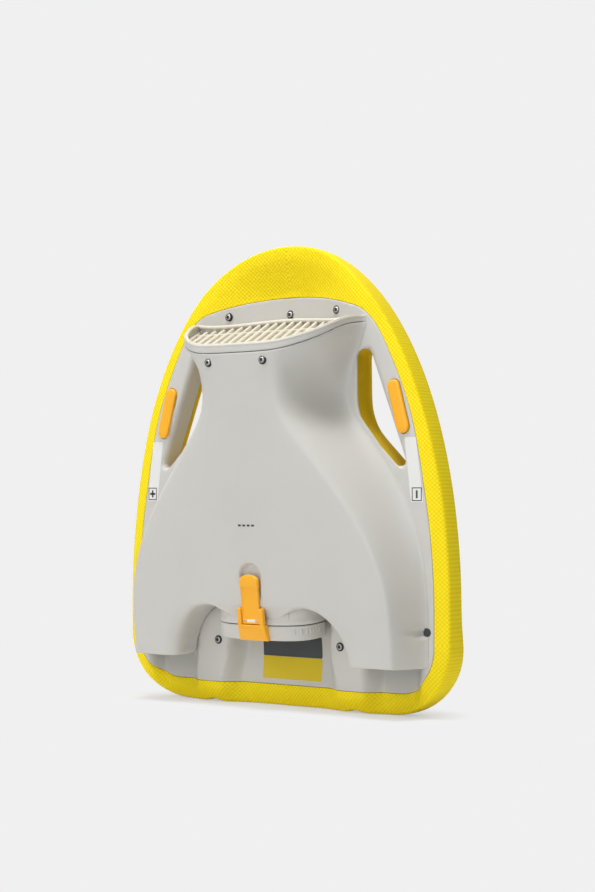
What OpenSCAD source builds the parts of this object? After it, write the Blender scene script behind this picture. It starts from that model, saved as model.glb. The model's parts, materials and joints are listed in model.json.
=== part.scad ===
// Powered swimming kickboard: a foam board with a two-jet drive housing on its underside.
// It stands on its tail. X runs across the board, Y from the housing back to the deck, Z from tail to nose.

/* [Foam board] */
// Length of the board, tail to nose
board_l = 478; // [464:1:496]
// Width of the board
board_w = 408; // [398:1:424]
// Depth from the intake lip to the deck
total_t = 114; // [110:1:122]
// Thickness of the board and its shell at the side rails
rail_t = 39; // [37:1:44]
// Height of the widest part above the tail
belt_z = 102; // [80:1:120]
// Radius of the two tail corners
tail_r = 62; // [54:1:72]
// Width of the sloping rim of the foam
rim_w = 12; // [9:1:16]
// How far the rim falls back towards the deck
rim_fall = 6.5; // [4:0.5:9]
// Radius of the edge round the deck
deck_r = 7; // [4:0.5:9]

/* [Base shell] */
// Wall of the base shell
shell_t = 2.5; // [2:0.1:3]
// Foam left showing at the sides
side_rim = 11; // [9:1:14]
// Foam left showing at the tail
tail_rim = 17; // [14:1:22]
// Foam left showing at the nose
nose_rim = 50; // [44:1:58]
// Depth of the hollow under the nose
dish_d = 22; // [16:1:24]
// Depth of the flat hollow at the tail
floor_d = 22; // [18:1:23]
// Wall of the grip sleeve inside each hand hole
sleeve_t = 2; // [1.6:0.1:2.4]
// Depth of the grip sleeve
sleeve_d = 24; // [18:1:28]

/* [Housing cover] */
// Wall of the housing cover
cover_t = 2.5; // [2:0.1:3]
// Drop from the nose to the cover's seam under the intake, at its front
intake_drop = 117; // [112:1:124]
// Drop from that seam to the waist between the hands
waist_drop = 55; // [50:1:60]
// Half-width of the cover's foot at the waist
waist_w = 93; // [88:1:94]
// Half-width of the cover's foot at the intake
mouth_w = 113; // [108:1:116]
// Height of the two jet lips
jet_z = 50; // [44:1:56]
// Height of the housing over the rail at the jets
jet_h = 37.7; // [36:0.1:39]

/* [Jet drives] */
// Distance of each jet from the middle
duct_x = 143.5; // [142:0.5:146]
// Outer radius of a duct
duct_r = 23.5; // [22:0.5:24]
// Wall of a duct
duct_t = 2.2; // [1.6:0.1:3]
// Length of a duct
duct_l = 92; // [88:1:94]
// Radius of a motor
motor_r = 9; // [8:0.5:10]
// Length of a motor
motor_l = 32; // [26:1:36]
// Radius of a propeller shaft
shaft_r = 2; // [1.5:0.1:2.5]
// Blades on a propeller
blade_count = 4; // [3:1:5]

/* [Buttons] */
// Length of a speed button
button_l = 55; // [48:1:58]
// Width of a speed button
button_w = 14; // [12:0.5:15]
// How far a button stands proud
button_proud = 3; // [2.4:0.1:4]
// Travel of a button
button_travel = 2; // [1.5:0.1:2.2]
// Lean of the buttons
button_lean = 15; // [12:1:18]

/* [Battery bay] */
// Half-width of the battery lid
lid_w = 60; // [57:0.5:62]
// Height of the battery lid
lid_h = 16; // [14:0.5:18]
// Length of the battery pack
battery_l = 138; // [120:1:145]
// Width of the battery pack
battery_w = 73; // [66:1:76]
// Thickness of the battery pack
battery_t = 25; // [22:0.5:26]
// Wall of the battery case
case_t = 2.5; // [2:0.1:3]

/* [Latch] */
// Width of the latch lever
lever_w = 22; // [18:0.5:24]
// Length of the latch lever
lever_l = 44; // [40:1:48]
// Thickness of the latch lever
lever_t = 4; // [3:0.2:4.4]
// Radius of the latch pin
latch_pin_r = 1.5; // [1.2:0.1:1.8]

/* [Fasteners] */
// Radius of a screw shank
screw_r = 2; // [1.5:0.1:2.4]
// Radius of a screw head
head_r = 3.8; // [3.2:0.1:4.2]

/* [Hidden] */
$fn = 48;

// Colours of the mouldings
grey = [0.78, 0.78, 0.76];
cream = [0.88, 0.86, 0.80];
yellow = [0.98, 0.86, 0.10];
orange = [0.98, 0.66, 0.20];
dark = [0.16, 0.17, 0.18];
steel = [0.66, 0.66, 0.66];

// Clearances: pieces that rest on each other, pieces that slide, shafts that turn
seat_gap = 0.3;
slide_gap = 0.3;
run_gap = 0.05;
// Length added to a cut so that it passes its face
over = 1;

// Planes through the depth of the board
deck_y = total_t / 2;
lip_y = -total_t / 2;
rail_y = deck_y - rail_t;
foot_y = rail_y - cover_t - seat_gap;
// Heights of the seam under the intake and of the waist
intake_z = board_l - intake_drop;
waist_z = intake_z - waist_drop;

// Blends: a rise from 0 to 1, and the same between two values
function rise(t) = let (c = min(max(t, 0), 1)) c * c * (3 - 2 * c);
function step_up(v, a, b) = rise((v - a) / (b - a));

// Outline of the foam: an ellipse above the belt, straight sides and round corners below
half_b = board_w / 2;
nose_b = board_l - belt_z;
function board_half(z) =
    z > belt_z ? half_b * sqrt(max(0, 1 - pow((z - belt_z) / nose_b, 2)))
    : z < tail_r ? half_b - tail_r + sqrt(pow(tail_r, 2) - pow(tail_r - z, 2))
    : half_b;

// Jet grooves run behind the ducts and out over the tail, shallower there
duct_y = rail_y - 7.5;
groove_d = duct_y + duct_r + seat_gap - rail_y;
groove_half = 20;
groove_side = 20;
groove_tail = 0.6;
groove_top = 112;
groove_end = 185;
groove_margin = 4;
function groove_across(x, z) =
    (1 - rise((abs(abs(x) - duct_x) - groove_half) / groove_side))
    * (1 - rise((abs(x) - foot_half(max(z, jet_z)) + groove_side + groove_margin) / groove_side));
function groove_along(z) =
    (groove_tail + (1 - groove_tail) * step_up(z, 0, jet_z))
    * (1 - step_up(z, groove_top + jet_z, groove_end + jet_z));

// Flat hollow between the two ridges of the tail
floor_half = 54;
floor_side = 14;
floor_top = 120;
floor_end = 190;
function floor_across(x) = 1 - rise((abs(x) - floor_half) / floor_side);
function floor_along(z) = 1 - step_up(z, floor_top, floor_end);

// Hollow under the nose, fading towards the tip
dish_half = 110;
dish_rise = 9;
dish_start = waist_z - 6;
dish_full = intake_z + dish_rise;
dish_fade = 0.45;
function dish_across(x) = pow(cos(90 * min(1, abs(x) / dish_half)), 2);
function dish_along(z) =
    step_up(z, dish_start, dish_full) * (1 - dish_fade * step_up(z, board_l - nose_rim, board_l));

// Front face of the base shell
function base_face(x, z) =
    rail_y + dish_d * dish_across(x) * dish_along(z)
    + floor_d * floor_across(x) * floor_along(z) + groove_d * groove_across(x, z) * groove_along(z);
// Turn of that face about Z
function face_turn(x, z) = atan((base_face(x + 1, z) - base_face(x - 1, z)) / 2);

// Crest and section of the housing: a bell that flares from the waist into two jets
mouth_rise = 26;
crest_rise = 5;
mouth_z = intake_z + mouth_rise;
crest_z = intake_z + crest_rise;
crest_slope = (total_t - rail_t - jet_h) / (crest_z - jet_z);
foot_margin = 10;
jet_foot = half_b - side_rim - foot_margin;
flare_power = 2.5;
flare_soften = 10;
function flare_raw(z) = 1 - pow(1 - min(1, max(0, (waist_z - z) / (waist_z - jet_z - 30))), flare_power);
function flare(z) = (flare_raw(z - flare_soften) + 2 * flare_raw(z) + flare_raw(z + flare_soften)) / 4;
function neck(z) = step_up(z, mouth_z, waist_z);
function foot_half(z) = waist_w + (jet_foot - waist_w) * flare(z) + (mouth_w - waist_w) * (1 - neck(z));
function crest_y(z) = lip_y + crest_slope * max(0, crest_z - z);
function plateau(z) = 0.42 + 0.08 * neck(z) + 0.38 * pow(flare(z), 1.7);
function skirt(z) = 0.86 + 0.08 * neck(z) + 0.06 * flare(z);
function crown(z) = 0.42 - 0.16 * neck(z) - 0.16 * flare(z);
function bell(s, z) = (1 - crown(z) * s * s) * (1 - step_up(s, plateau(z), skirt(z)));

// Finger dip above the latch
pod_z = 87;
dip_z = pod_z + lever_l + 5;
dip_r = 12;
dip_d = 4;
function finger_dip(x, z) = dip_d * (1 - rise(norm([x, z - dip_z]) / dip_r));

// Point of the housing's outer face, u from side to side
function cover_point(u, z) =
    let (s = abs(u))
    [u * foot_half(z),
     foot_y - (foot_y - crest_y(z)) * bell(s, z) + finger_dip(u * foot_half(z), z), z];

// Seam under the intake: a plane that rises towards the deck
intake_slope = 0.4;
function seam_z(u) = intake_z + intake_slope * (cover_point(u, mouth_z)[1] - lip_y);

// Lower edge of the cover: a wave over the battery bay, two arches and two jet lips
pod_edge = 4;
arch_x = 60;
arch_start = 14;
arch_z = 106;
arch_w = 57;
function cover_edge(x) =
    let (a = abs(x))
    a < arch_x ? pod_z + pod_edge + (arch_z - pod_z - pod_edge) * step_up(a, arch_start, arch_x)
    : a < arch_x + arch_w ? jet_z + (arch_z - jet_z) * sqrt(1 - pow((a - arch_x) / arch_w, 2))
    : jet_z;
// How far the cover turns in at that edge: to the base shell beside the arches, a lip elsewhere
lip_in = 4;
lip_min = 0.1;
function arch_share(x) =
    step_up(abs(x), arch_x - 12, arch_x) * (1 - step_up(abs(x), arch_x + arch_w - 3, arch_x + arch_w + 3));
function turn_in(u, p) =
    lip_in * max(lip_min, min(1, 2 * bell(abs(u), p[2])))
    + (base_face(p[0], p[2]) - 2 * cover_t - p[1] - lip_in) * arch_share(p[0]);

// Grids: rows of points, their normals, and a closed solid between two grids
function grid_normal(g, i, j) =
    let (rows = len(g), cols = len(g[0]),
         a = g[i][min(cols - 1, j + 1)] - g[i][max(0, j - 1)],
         b = g[min(rows - 1, i + 1)][j] - g[max(0, i - 1)][j],
         n = cross(a, b))
    n / norm(n);
function grid_offset(g, walls) =
    [for (i = [0 : len(g) - 1]) [for (j = [0 : len(g[0]) - 1]) g[i][j] - walls[j] * grid_normal(g, i, j)]];
function flatten(rows) = [for (row = rows) each row];

// Numbers of a grid's border points in order, and the faces of a grid seen from -Y
function grid_border(g) =
    let (rows = len(g), cols = len(g[0]))
    concat(
        [for (j = [0 : cols - 2]) j],
        [for (i = [0 : rows - 2]) i * cols + cols - 1],
        [for (j = [cols - 1 : -1 : 1]) (rows - 1) * cols + j],
        [for (i = [rows - 1 : -1 : 1]) i * cols]);
function grid_faces(g) =
    let (rows = len(g), cols = len(g[0]))
    [for (i = [0 : rows - 2]) for (j = [0 : cols - 2])
        let (a = i * cols + j, b = a + cols) each [[a, b, b + 1], [a, b + 1, a + 1]]];
// Faces between two loops of point numbers
function strip_faces(a, b) =
    [for (k = [0 : len(a) - 1])
        let (n = (k + 1) % len(a)) each [[a[k], a[n], b[n]], [a[k], b[n], b[k]]]];

// Closed solid between a front grid that faces -Y and a back grid of the same rows and columns
module sheet(front, back) {
    count = len(front) * len(front[0]);
    faces = grid_faces(front);
    border = grid_border(front);
    polyhedron(
        points = concat(flatten(front), flatten(back)),
        faces = concat(
            faces,
            [for (f = faces) [f[2] + count, f[1] + count, f[0] + count]],
            strip_faces(border, [for (k = border) k + count])),
        convexity = 10);
}

// Closed solid under a front grid: loops of points carry its border round to a flat back
module skirted_sheet(front, loops) {
    count = len(front) * len(front[0]);
    border = grid_border(front);
    size = len(border);
    rings = [for (k = [0 : len(loops) - 1]) [for (i = [0 : size - 1]) count + k * size + i]];
    last = rings[len(rings) - 1];
    polyhedron(
        points = concat(flatten(front), flatten(loops)),
        faces = concat(
            grid_faces(front),
            strip_faces(border, rings[0]),
            [for (k = [0 : len(rings) - 2]) each strip_faces(rings[k], rings[k + 1])],
            [[for (i = [0 : size - 1]) last[i]]]),
        convexity = 10);
}

// Sides of the object
module on_side(side) {
    mirror([side < 0 ? 1 : 0, 0, 0]) children();
}

// Hand hole: a rounded triangle between the cover's waist and the grip
hole_r = 10;
hole_low_r = 9;
hole_top = [waist_w + 15, waist_z + 45];
hole_waist = [waist_w + 15, waist_z - 8];
hole_low = [waist_w + 50.5, waist_z - 50];
module hand_hole_plan(grow) {
    hull() {
        translate(hole_top) circle(hole_r + grow, $fn = 32);
        translate(hole_waist) circle(hole_low_r + grow, $fn = 32);
        translate(hole_low) circle(hole_low_r + grow, $fn = 32);
    }
}

// Plan drawn in X and Z, raised along Y from one plane to another
module along_y(from, to) {
    translate([0, to, 0])
        rotate([90, 0, 0])
            linear_extrude(to - from) children();
}

// Base shell
base_cols = 36;
base_r = 50;
base_low_rows = 6;
base_mid_rows = 12;
base_shoulder = waist_z + 44;
base_corner = 10;
base_turn = 66;
base_bow = 18;
base_top = board_l - nose_rim;
base_half_low = half_b - side_rim;
function base_half(z) =
    z < tail_rim + base_r ? base_half_low - base_r + sqrt(pow(base_r, 2) - pow(base_r - (z - tail_rim), 2))
    : min(board_half(z) - side_rim, base_half_low);
base_rows = concat(
    [for (i = [0 : base_low_rows]) tail_rim + base_r * (1 - cos(90 * i / base_low_rows))],
    [for (i = [1 : base_mid_rows]) let (z = tail_rim + base_r) z + (base_shoulder - z) * i / base_mid_rows]);
base_top_rows = 6;
// Point of the base shell: below the shoulder rows are level, above it they bow and draw in at the corners
function base_plan(u, z) = [u * base_half(z), z];
function base_top_plan(u, k) =
    let (t = k / base_top_rows,
         wide = base_half(base_shoulder) - (base_half(base_shoulder) - base_half(base_top - base_bow)) * t
             - base_corner * pow(t, 4))
    [u * wide,
     base_shoulder + (base_top - base_bow * u * u - base_shoulder) * sin(base_turn * t) / sin(base_turn)];
function base_col(j) = 2 * j / base_cols - 1;
base_grid = concat(
    [for (z = base_rows) [for (j = [0 : base_cols]) base_plan(base_col(j), z)]],
    [for (k = [1 : base_top_rows]) [for (j = [0 : base_cols]) base_top_plan(base_col(j), k)]]);

module base_shell() {
    front = [for (row = base_grid) [for (p = row) [p[0], base_face(p[0], p[1]), p[1]]]];
    back = [for (row = base_grid) [for (p = row) [p[0], base_face(p[0], p[1]) + shell_t, p[1]]]];
    color(grey)
    difference() {
        union() {
            sheet(front, back);
            for (side = [-1, 1]) on_side(side) grip_sleeve();
        }
        for (side = [-1, 1]) on_side(side) {
            along_y(lip_y, deck_y) hand_hole_plan(0);
            button_place()
                pill_along_y(button_w + 2 * slide_gap, button_l + 2 * slide_gap, -over, shell_t + over);
        }
        insert_places() along_screw(-over, shell_t + over, screw_r + slide_gap);
        side_places() along_screw(-over, shell_t + over, screw_r + slide_gap);
    }
}

// Sleeve that lines the grip side of a hand hole
module grip_sleeve() {
    difference() {
        along_y(rail_y + shell_t / 2, rail_y + sleeve_d) hand_hole_plan(sleeve_t);
        translate([hole_top[0], rail_y + shell_t, hole_waist[1]])
            rotate([0, -atan((hole_low[0] - hole_top[0]) / (hole_top[1] - hole_low[1])), 0])
                translate([-2 * dish_half, 0, -2 * dish_half])
                    cube([2 * dish_half, sleeve_d + over, 4 * dish_half]);
    }
}

// Foam board: it carries the base shell in a recess, and its rim slopes back to the outline
foam_step = 1.2;
foam_edge_min = 6;
recess_gap = 0.5;
rim_loops = 2;
deck_loops = 3;
// Point of the outline straight out from a point of the base shell's border
function outline_point(p) =
    let (side = p[0] < 0 ? -1 : 1, c = [base_half_low - base_r, tail_rim + base_r], q = [abs(p[0]), p[1]] - c)
    p[1] > belt_z ? let (r = norm([p[0] / half_b, (p[1] - belt_z) / nose_b]))
        [p[0] / r, belt_z + (p[1] - belt_z) / r]
    : q[1] >= 0 ? [side * half_b, tail_r + (p[1] - c[1]) * (belt_z - tail_r) / (belt_z - c[1])]
    : q[0] <= 0 ? [p[0] * (half_b - tail_r) / c[0], 0]
    : [side * (half_b - tail_r + tail_r * q[0] / norm(q)), tail_r + tail_r * q[1] / norm(q)];
function rim_face(p, d) =
    min(base_face(p[0], p[1]) + foam_step + rim_fall * max(0, 1 - d / rim_w), deck_y - deck_r - foam_edge_min);
// Loops round the board: the recess wall, the sloping rim, the side and the round edge of the deck
function rim_point(p, t) =
    let (q = outline_point(p), w = p + (q - p) * t) [w[0], rim_face(w, norm(q - p) * (1 - t)), w[1]];
function recess_share(p) = recess_gap / norm(outline_point(p) - p);
function crease_share(p) = 1 - min(0.9, rim_w / norm(outline_point(p) - p));
function deck_point(p, a) =
    let (q = outline_point(p), n = (p - q) / norm(p - q), w = q + n * deck_r * (1 - cos(a)))
    [w[0], deck_y - deck_r * (1 - sin(a)), w[1]];
function foam_loops(border) = concat(
    [[for (p = border) let (w = p + (outline_point(p) - p) * recess_share(p))
        [w[0], base_face(p[0], p[1]) + shell_t + seat_gap, w[1]]]],
    [[for (p = border) rim_point(p, recess_share(p))]],
    [for (k = [1 : rim_loops]) [for (p = border)
        rim_point(p, recess_share(p) + (crease_share(p) - recess_share(p)) * k / rim_loops)]],
    [[for (p = border) rim_point(p, 1)]],
    [for (k = [0 : deck_loops]) [for (p = border) deck_point(p, 90 * k / deck_loops)]]);

module foam_board() {
    front = [for (row = base_grid) [for (p = row) [p[0], base_face(p[0], p[1]) + shell_t + seat_gap, p[1]]]];
    border = [for (k = grid_border(base_grid)) flatten(base_grid)[k]];
    color(yellow)
    difference() {
        skirted_sheet(front, foam_loops(border));
        for (side = [-1, 1]) on_side(side) {
            along_y(lip_y, deck_y + over) hand_hole_plan(sleeve_t + seat_gap);
            button_place()
                pill_along_y(tray_w + 2 * tray_t + 2 * seat_gap, tray_l + 2 * tray_t + 2 * seat_gap,
                    0, tray_back + seat_gap);
        }
        insert_places() insert_pocket();
    }
}

// Housing cover
cover_cols = 44;
cover_rows_count = 20;
turn_rows = 2;
function cover_col(j) = 2 * j / cover_cols - 1;
function cover_low(u) = cover_edge(u * foot_half(jet_z));
function cover_face(u, v) = cover_point(u, cover_low(u) + (seam_z(u) - cover_low(u)) * v);
function cover_turn(u, k) =
    let (p = cover_face(u, 0)) p + [0, turn_in(u, p) * k / turn_rows, 0];
function cover_grid() = concat(
    [for (k = [turn_rows : -1 : 1]) [for (j = [0 : cover_cols]) cover_turn(cover_col(j), k)]],
    [for (i = [0 : cover_rows_count])
        [for (j = [0 : cover_cols]) cover_face(cover_col(j), i / cover_rows_count)]]);

module housing_cover() {
    front = cover_grid();
    color(grey)
    difference() {
        sheet(front, grid_offset(front, [for (j = [0 : cover_cols]) cover_t]));
        for (side = [-1, 1]) on_side(side)
            cover_screw_place() along_screw(-over, 2 * cover_t, screw_r + slide_gap);
        led_places() led_block(led_w + 2 * seat_gap, led_h + 2 * seat_gap, -cover_t, 2 * cover_t);
    }
}

// Intake frame: the band above the seam
frame_h = 10;
frame_t = 4;
frame_rows = 3;
frame_flare = 0.6;
seam_gap = 0.6;
function frame_point(u, t) =
    let (p = cover_point(u, seam_z(u)))
    [p[0], p[1] - frame_flare * sin(180 * min(1, t * 1.2)) * bell(abs(u), mouth_z),
     p[2] + seam_gap + frame_h * t];

module intake_frame() {
    front = [for (i = [0 : frame_rows]) [for (j = [0 : cover_cols]) frame_point(cover_col(j), i / frame_rows)]];
    walls = [for (j = [0 : cover_cols])
        cover_t + (frame_t - cover_t) * min(1, 3 * bell(abs(cover_col(j)), mouth_z))];
    color(grey) sheet(front, grid_offset(front, walls));
}

// Intake grille: a plate with two rows of slanting ribs in the plane of the intake
grille_t = 7;
grille_border = 3;
grille_bar = 3.5;
grille_reach = 0.86;
grille_cols = 40;
grille_slope = 0.33;
grille_low = 8;
grille_gap = 0.7;
rib_pitch = 9.5;
rib_w = 3.2;
rib_lean = -10;
grille_tilt = atan(grille_slope);
function grille_u(j) = (2 * j / grille_cols - 1) * grille_reach;
// Outer face of the frame and front of the flange, seen square to the grille
function grille_front(u) = (frame_point(u, 1)[1] - lip_y) / cos(grille_tilt);
function grille_rear(u) =
    (base_face(u * mouth_w, flange_z) - grille_t * sin(grille_tilt) - lip_y) / cos(grille_tilt);
module grille_outer_plan() {
    polygon(concat(
        [for (j = [0 : grille_cols]) [frame_point(grille_u(j), 1)[0], grille_front(grille_u(j))]],
        [for (j = [grille_cols : -1 : 0])
            [frame_point(grille_u(j), 1)[0], grille_rear(grille_u(j)) + frame_t]]));
}
module grille_plan(inset) {
    offset(delta = -frame_t - grille_gap - inset) grille_outer_plan();
}
module grille_ribs() {
    for (x = [-mouth_w : rib_pitch : mouth_w + rib_pitch])
        translate([x, 0]) rotate(-rib_lean) translate([-rib_w / 2, -total_t]) square([rib_w, 3 * total_t]);
    translate([-mouth_w, (grille_front(0) + grille_rear(0)) / 2]) square([2 * mouth_w, grille_bar]);
}
module intake_grille() {
    color(cream)
    translate([0, lip_y, intake_z + grille_low])
        rotate([grille_tilt, 0, 0])
            translate([0, 0, -grille_t])
                linear_extrude(grille_t)
                    union() {
                        difference() {
                            grille_plan(0);
                            grille_plan(grille_border);
                        }
                        intersection() {
                            grille_plan(0);
                            grille_ribs();
                        }
                    }
}

// Pill shapes, drawn upright in X and Z and raised along Y
module pill_plan(w, l) {
    square([w, l - w], center = true);
    for (end = [-1, 1]) translate([0, end * (l - w) / 2]) circle(w / 2);
}
module pill_along_y(w, l, from, to) {
    along_y(from, to) pill_plan(w, l);
}

// Speed buttons, one in each grip
button_x = waist_w + 55.3;
button_z = waist_z + 0.5;
button_tab = 5;
button_tab_t = 1.2;
tray_t = 1.2;
tray_w = button_w + 2 * slide_gap;
tray_l = button_l + button_tab + 2 * slide_gap;
tray_front = shell_t + 0.2;
flange_front = tray_front + slide_gap;
flange_back = flange_front + button_tab_t;
tray_floor = flange_back + button_travel + 2.4;
tray_back = tray_floor + tray_t;
spring_r = 3;
spring_wire = 0.45;
spring_turns = 3;
module button_place() {
    translate([button_x, rail_y, button_z]) rotate([0, -button_lean, 0]) children();
}
module button() {
    color(orange)
    button_place() {
        pill_along_y(button_w, button_l, -button_proud, flange_back);
        pill_along_y(button_w, button_l + button_tab, flange_front, flange_back);
    }
}
module button_tray() {
    color(dark)
    button_place()
    difference() {
        pill_along_y(tray_w + 2 * tray_t, tray_l + 2 * tray_t, tray_front, tray_back);
        pill_along_y(tray_w, tray_l, tray_front - over, tray_floor);
    }
}
// Coil of round wire along Y, as a tube swept round a helix
coil_steps = 10;
coil_sides = 5;
module coil(r, wire, turns, from, to) {
    steps = coil_steps * turns;
    rings = [for (i = [0 : steps])
        let (a = 360 * i / coil_steps, y = from + (to - from) * i / steps)
        [for (k = [0 : coil_sides - 1])
            let (b = 360 * k / coil_sides, q = r + wire * cos(b)) [q * cos(a), y + wire * sin(b), q * sin(a)]]];
    sides = [for (i = [0 : steps - 1]) for (k = [0 : coil_sides - 1])
        let (n = (k + 1) % coil_sides, p = i * coil_sides)
        each [[p + k, p + n, p + coil_sides + n], [p + k, p + coil_sides + n, p + coil_sides + k]]];
    last = steps * coil_sides;
    ends = concat(
        [[for (k = [coil_sides - 1 : -1 : 0]) k]],
        [[for (k = [0 : coil_sides - 1]) last + k]]);
    polyhedron(points = flatten(rings), faces = concat(sides, ends), convexity = 6);
}
module button_spring() {
    color(steel)
    button_place()
        coil(spring_r, spring_wire, spring_turns,
            flange_back + spring_wire + slide_gap / 2, tray_floor - spring_wire - slide_gap / 2);
}

// Battery bay, drawn in a frame laid along the crest: its Y runs into the housing, its Z up the crest
pod_tilt = atan(crest_slope);
pod_y = crest_y(pod_z);
lid_front = cover_t + 0.5;
lid_mid = 38;
lid_back = 54;
lid_round = 3;
lid_steps = 64;
module pod_place() {
    translate([0, pod_y, pod_z]) rotate([pod_tilt, 0, 0]) children();
}
// Rounded plan of the lid and of the collar above it
function lid_point(a, inset) =
    let (c = cos(a), s = sin(a), p = 2 / lid_round, deep = s < 0 ? lid_mid - lid_front : lid_back - lid_mid)
    [sign(c) * pow(abs(c), p) * (lid_w - inset), lid_mid + sign(s) * pow(abs(s), p) * (deep - inset)];
module lid_plan(inset) {
    polygon([for (i = [0 : lid_steps - 1]) lid_point(360 * i / lid_steps, inset)]);
}

collar_h = pod_edge - 0.6;
collar_up = 20;
collar_inset = 7;
case_gap = 1;
case_in_w = battery_w + 2 * case_gap;
case_in_t = battery_t + 2 * case_gap;
case_y = lid_front + case_t + dip_d;
bay_extra = 26;
case_h = battery_l + bay_extra;
hinge_y = 58.5;
hinge_z = -12;
hinge_r = 3.6;
hinge_pin_r = 1.8;
knuckle_half = 12;
lug_w = 8;
module case_block(grow, from, to) {
    translate([-case_in_w / 2 - grow, case_y - grow, from])
        cube([case_in_w + 2 * grow, case_in_t + 2 * grow, to - from]);
}
module hinge_axis(half, r) {
    translate([-half, hinge_y, hinge_z]) rotate([0, 90, 0]) cylinder(h = 2 * half, r = r);
}
module hinge_lug(from) {
    translate([from, hinge_y, hinge_z]) rotate([0, 90, 0]) cylinder(h = lug_w, r = hinge_r);
    translate([from, hinge_y - hinge_r / 2, hinge_z]) cube([lug_w, hinge_r * 1.5, collar_h - hinge_z]);
    translate([from, lid_back - 2 * case_t, over / 2])
        cube([lug_w, hinge_y + hinge_r - lid_back + 2 * case_t, collar_h - over / 2]);
}
module battery_case() {
    color(grey)
    pod_place()
    difference() {
        union() {
            linear_extrude(collar_h) lid_plan(0);
            linear_extrude(collar_up) lid_plan(collar_inset);
            case_block(case_t, 0, case_h);
            hinge_lug(knuckle_half + slide_gap);
            hinge_lug(-knuckle_half - slide_gap - lug_w);
        }
        case_block(0, -over, case_h - case_t);
        hinge_axis(knuckle_half + lug_w + 2 * over, hinge_pin_r + run_gap);
    }
}
battery_low = 1;
module battery_pack() {
    color(dark)
    pod_place()
    translate([-battery_w / 2, case_y + case_gap, battery_low])
        cube([battery_w, battery_t, battery_l]);
}
contact_w = 40;
contact_h = 6;
contact_t = 14;
module battery_contacts() {
    color(dark)
    pod_place()
    translate([-contact_w / 2, case_y + seat_gap, battery_low + battery_l + seat_gap])
        cube([contact_w, contact_t, contact_h]);
}
board_t = 1.6;
board_h = 12;
module control_board() {
    low = battery_low + battery_l + contact_h + 2 * seat_gap;
    color([0.1, 0.4, 0.2])
    pod_place() {
        translate([-battery_w / 2, case_y + seat_gap, low]) cube([battery_w, board_t, board_h]);
        for (x = [-24, 0, 24])
            translate([x, case_y + seat_gap + board_t, low + board_h / 2])
                rotate([-90, 0, 0]) cylinder(h = 5, r = 4);
    }
}

// Battery lid, its gasket and its hinge pin
lid_gap = 0.3;
lid_t = 3;
gasket_h = 2;
gasket_w = 3;
module battery_lid() {
    color(grey)
    pod_place()
    difference() {
        union() {
            translate([0, 0, -lid_h - lid_gap])
            difference() {
                linear_extrude(lid_h) lid_plan(0);
                translate([0, 0, lid_t]) linear_extrude(lid_h) lid_plan(lid_t);
            }
            hinge_axis(knuckle_half, hinge_r);
            translate([-knuckle_half, lid_back - 2 * lid_t, hinge_z - hinge_r])
                cube([2 * knuckle_half, hinge_y - lid_back + 2 * lid_t, hinge_r]);
        }
        hinge_axis(knuckle_half + over, hinge_pin_r + run_gap);
    }
}
module lid_gasket() {
    color(dark)
    pod_place()
    translate([0, 0, -gasket_h - lid_gap / 2])
    linear_extrude(gasket_h)
    difference() {
        lid_plan(lid_t + seat_gap);
        lid_plan(lid_t + seat_gap + gasket_w);
    }
}
module lid_hinge_pin() {
    color(steel)
    pod_place() hinge_axis(knuckle_half + slide_gap + lug_w, hinge_pin_r);
}

// Latch: a forked frame on the lid and a lever that snaps over a keeper
frame_w = 32;
frame_low_w = 36;
frame_deep = 7;
frame_up = 18;
latch_pin_y = -3.4;
latch_pin_z = 4.4;
latch_knuckle = 3;
arm_gap = 0.4;
crest_gap = 0.5;
module latch_axis(half, r) {
    translate([-half, latch_pin_y, latch_pin_z]) rotate([0, 90, 0]) cylinder(h = 2 * half, r = r);
}
module latch_frame() {
    arm_in = lever_w / 2 + arm_gap;
    color(orange)
    pod_place()
    difference() {
        union() {
            along_y(-frame_deep, lid_front - seat_gap)
                polygon([[-frame_low_w / 2, -lid_h], [frame_low_w / 2, -lid_h],
                    [frame_w / 2, -lid_gap], [-frame_w / 2, -lid_gap]]);
            for (side = [-1, 1]) on_side(side)
                translate([arm_in, -frame_deep, -lid_gap - over])
                    cube([frame_w / 2 - arm_in, frame_deep - crest_gap, frame_up + lid_gap + over]);
        }
        latch_axis(frame_w, latch_pin_r + run_gap);
        latch_axis(lever_w / 2 + arm_gap, latch_knuckle + 2 * arm_gap);
    }
}
lever_face = -1.6;
lever_bevel = 3;
lever_slot_w = 10;
hook_h = 1.5;
hook_z = 34;
hook_l = 4;
module latch_lever() {
    color(orange)
    pod_place()
    difference() {
        union() {
            along_y(lever_face - lever_t, lever_face)
                hull() {
                    translate([-lever_w / 2, latch_pin_z]) square([lever_w, over]);
                    translate([0, latch_pin_z + lever_l - lever_bevel - lever_w / 4])
                        scale([1, 0.5]) circle(lever_w / 2, $fn = 32);
                }
            latch_axis(lever_w / 2, latch_knuckle);
            translate([-lever_w / 4, lever_face - over, hook_z])
                cube([lever_w / 2, hook_h + over - crest_gap, hook_l]);
        }
        latch_axis(lever_w, latch_pin_r + run_gap);
        translate([-lever_slot_w / 2, lever_face - 2 * lever_t, latch_pin_z - latch_knuckle - over])
            cube([lever_slot_w, 4 * lever_t, 2 * latch_knuckle + over]);
    }
}
module latch_pin() {
    color(steel)
    pod_place() latch_axis(frame_w / 2 - over, latch_pin_r);
}
keeper_h = 0.9;
keeper_l = 5;
module latch_keeper() {
    color(grey)
    pod_place()
    translate([-lever_w / 4, 0, hook_z - keeper_l - over])
        rotate([90, 0, 90])
            linear_extrude(lever_w / 2)
                polygon([[-0.1, 0], [-keeper_h, keeper_l / 2], [-keeper_h, keeper_l * 0.7], [-0.1, keeper_l]]);
}

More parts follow.
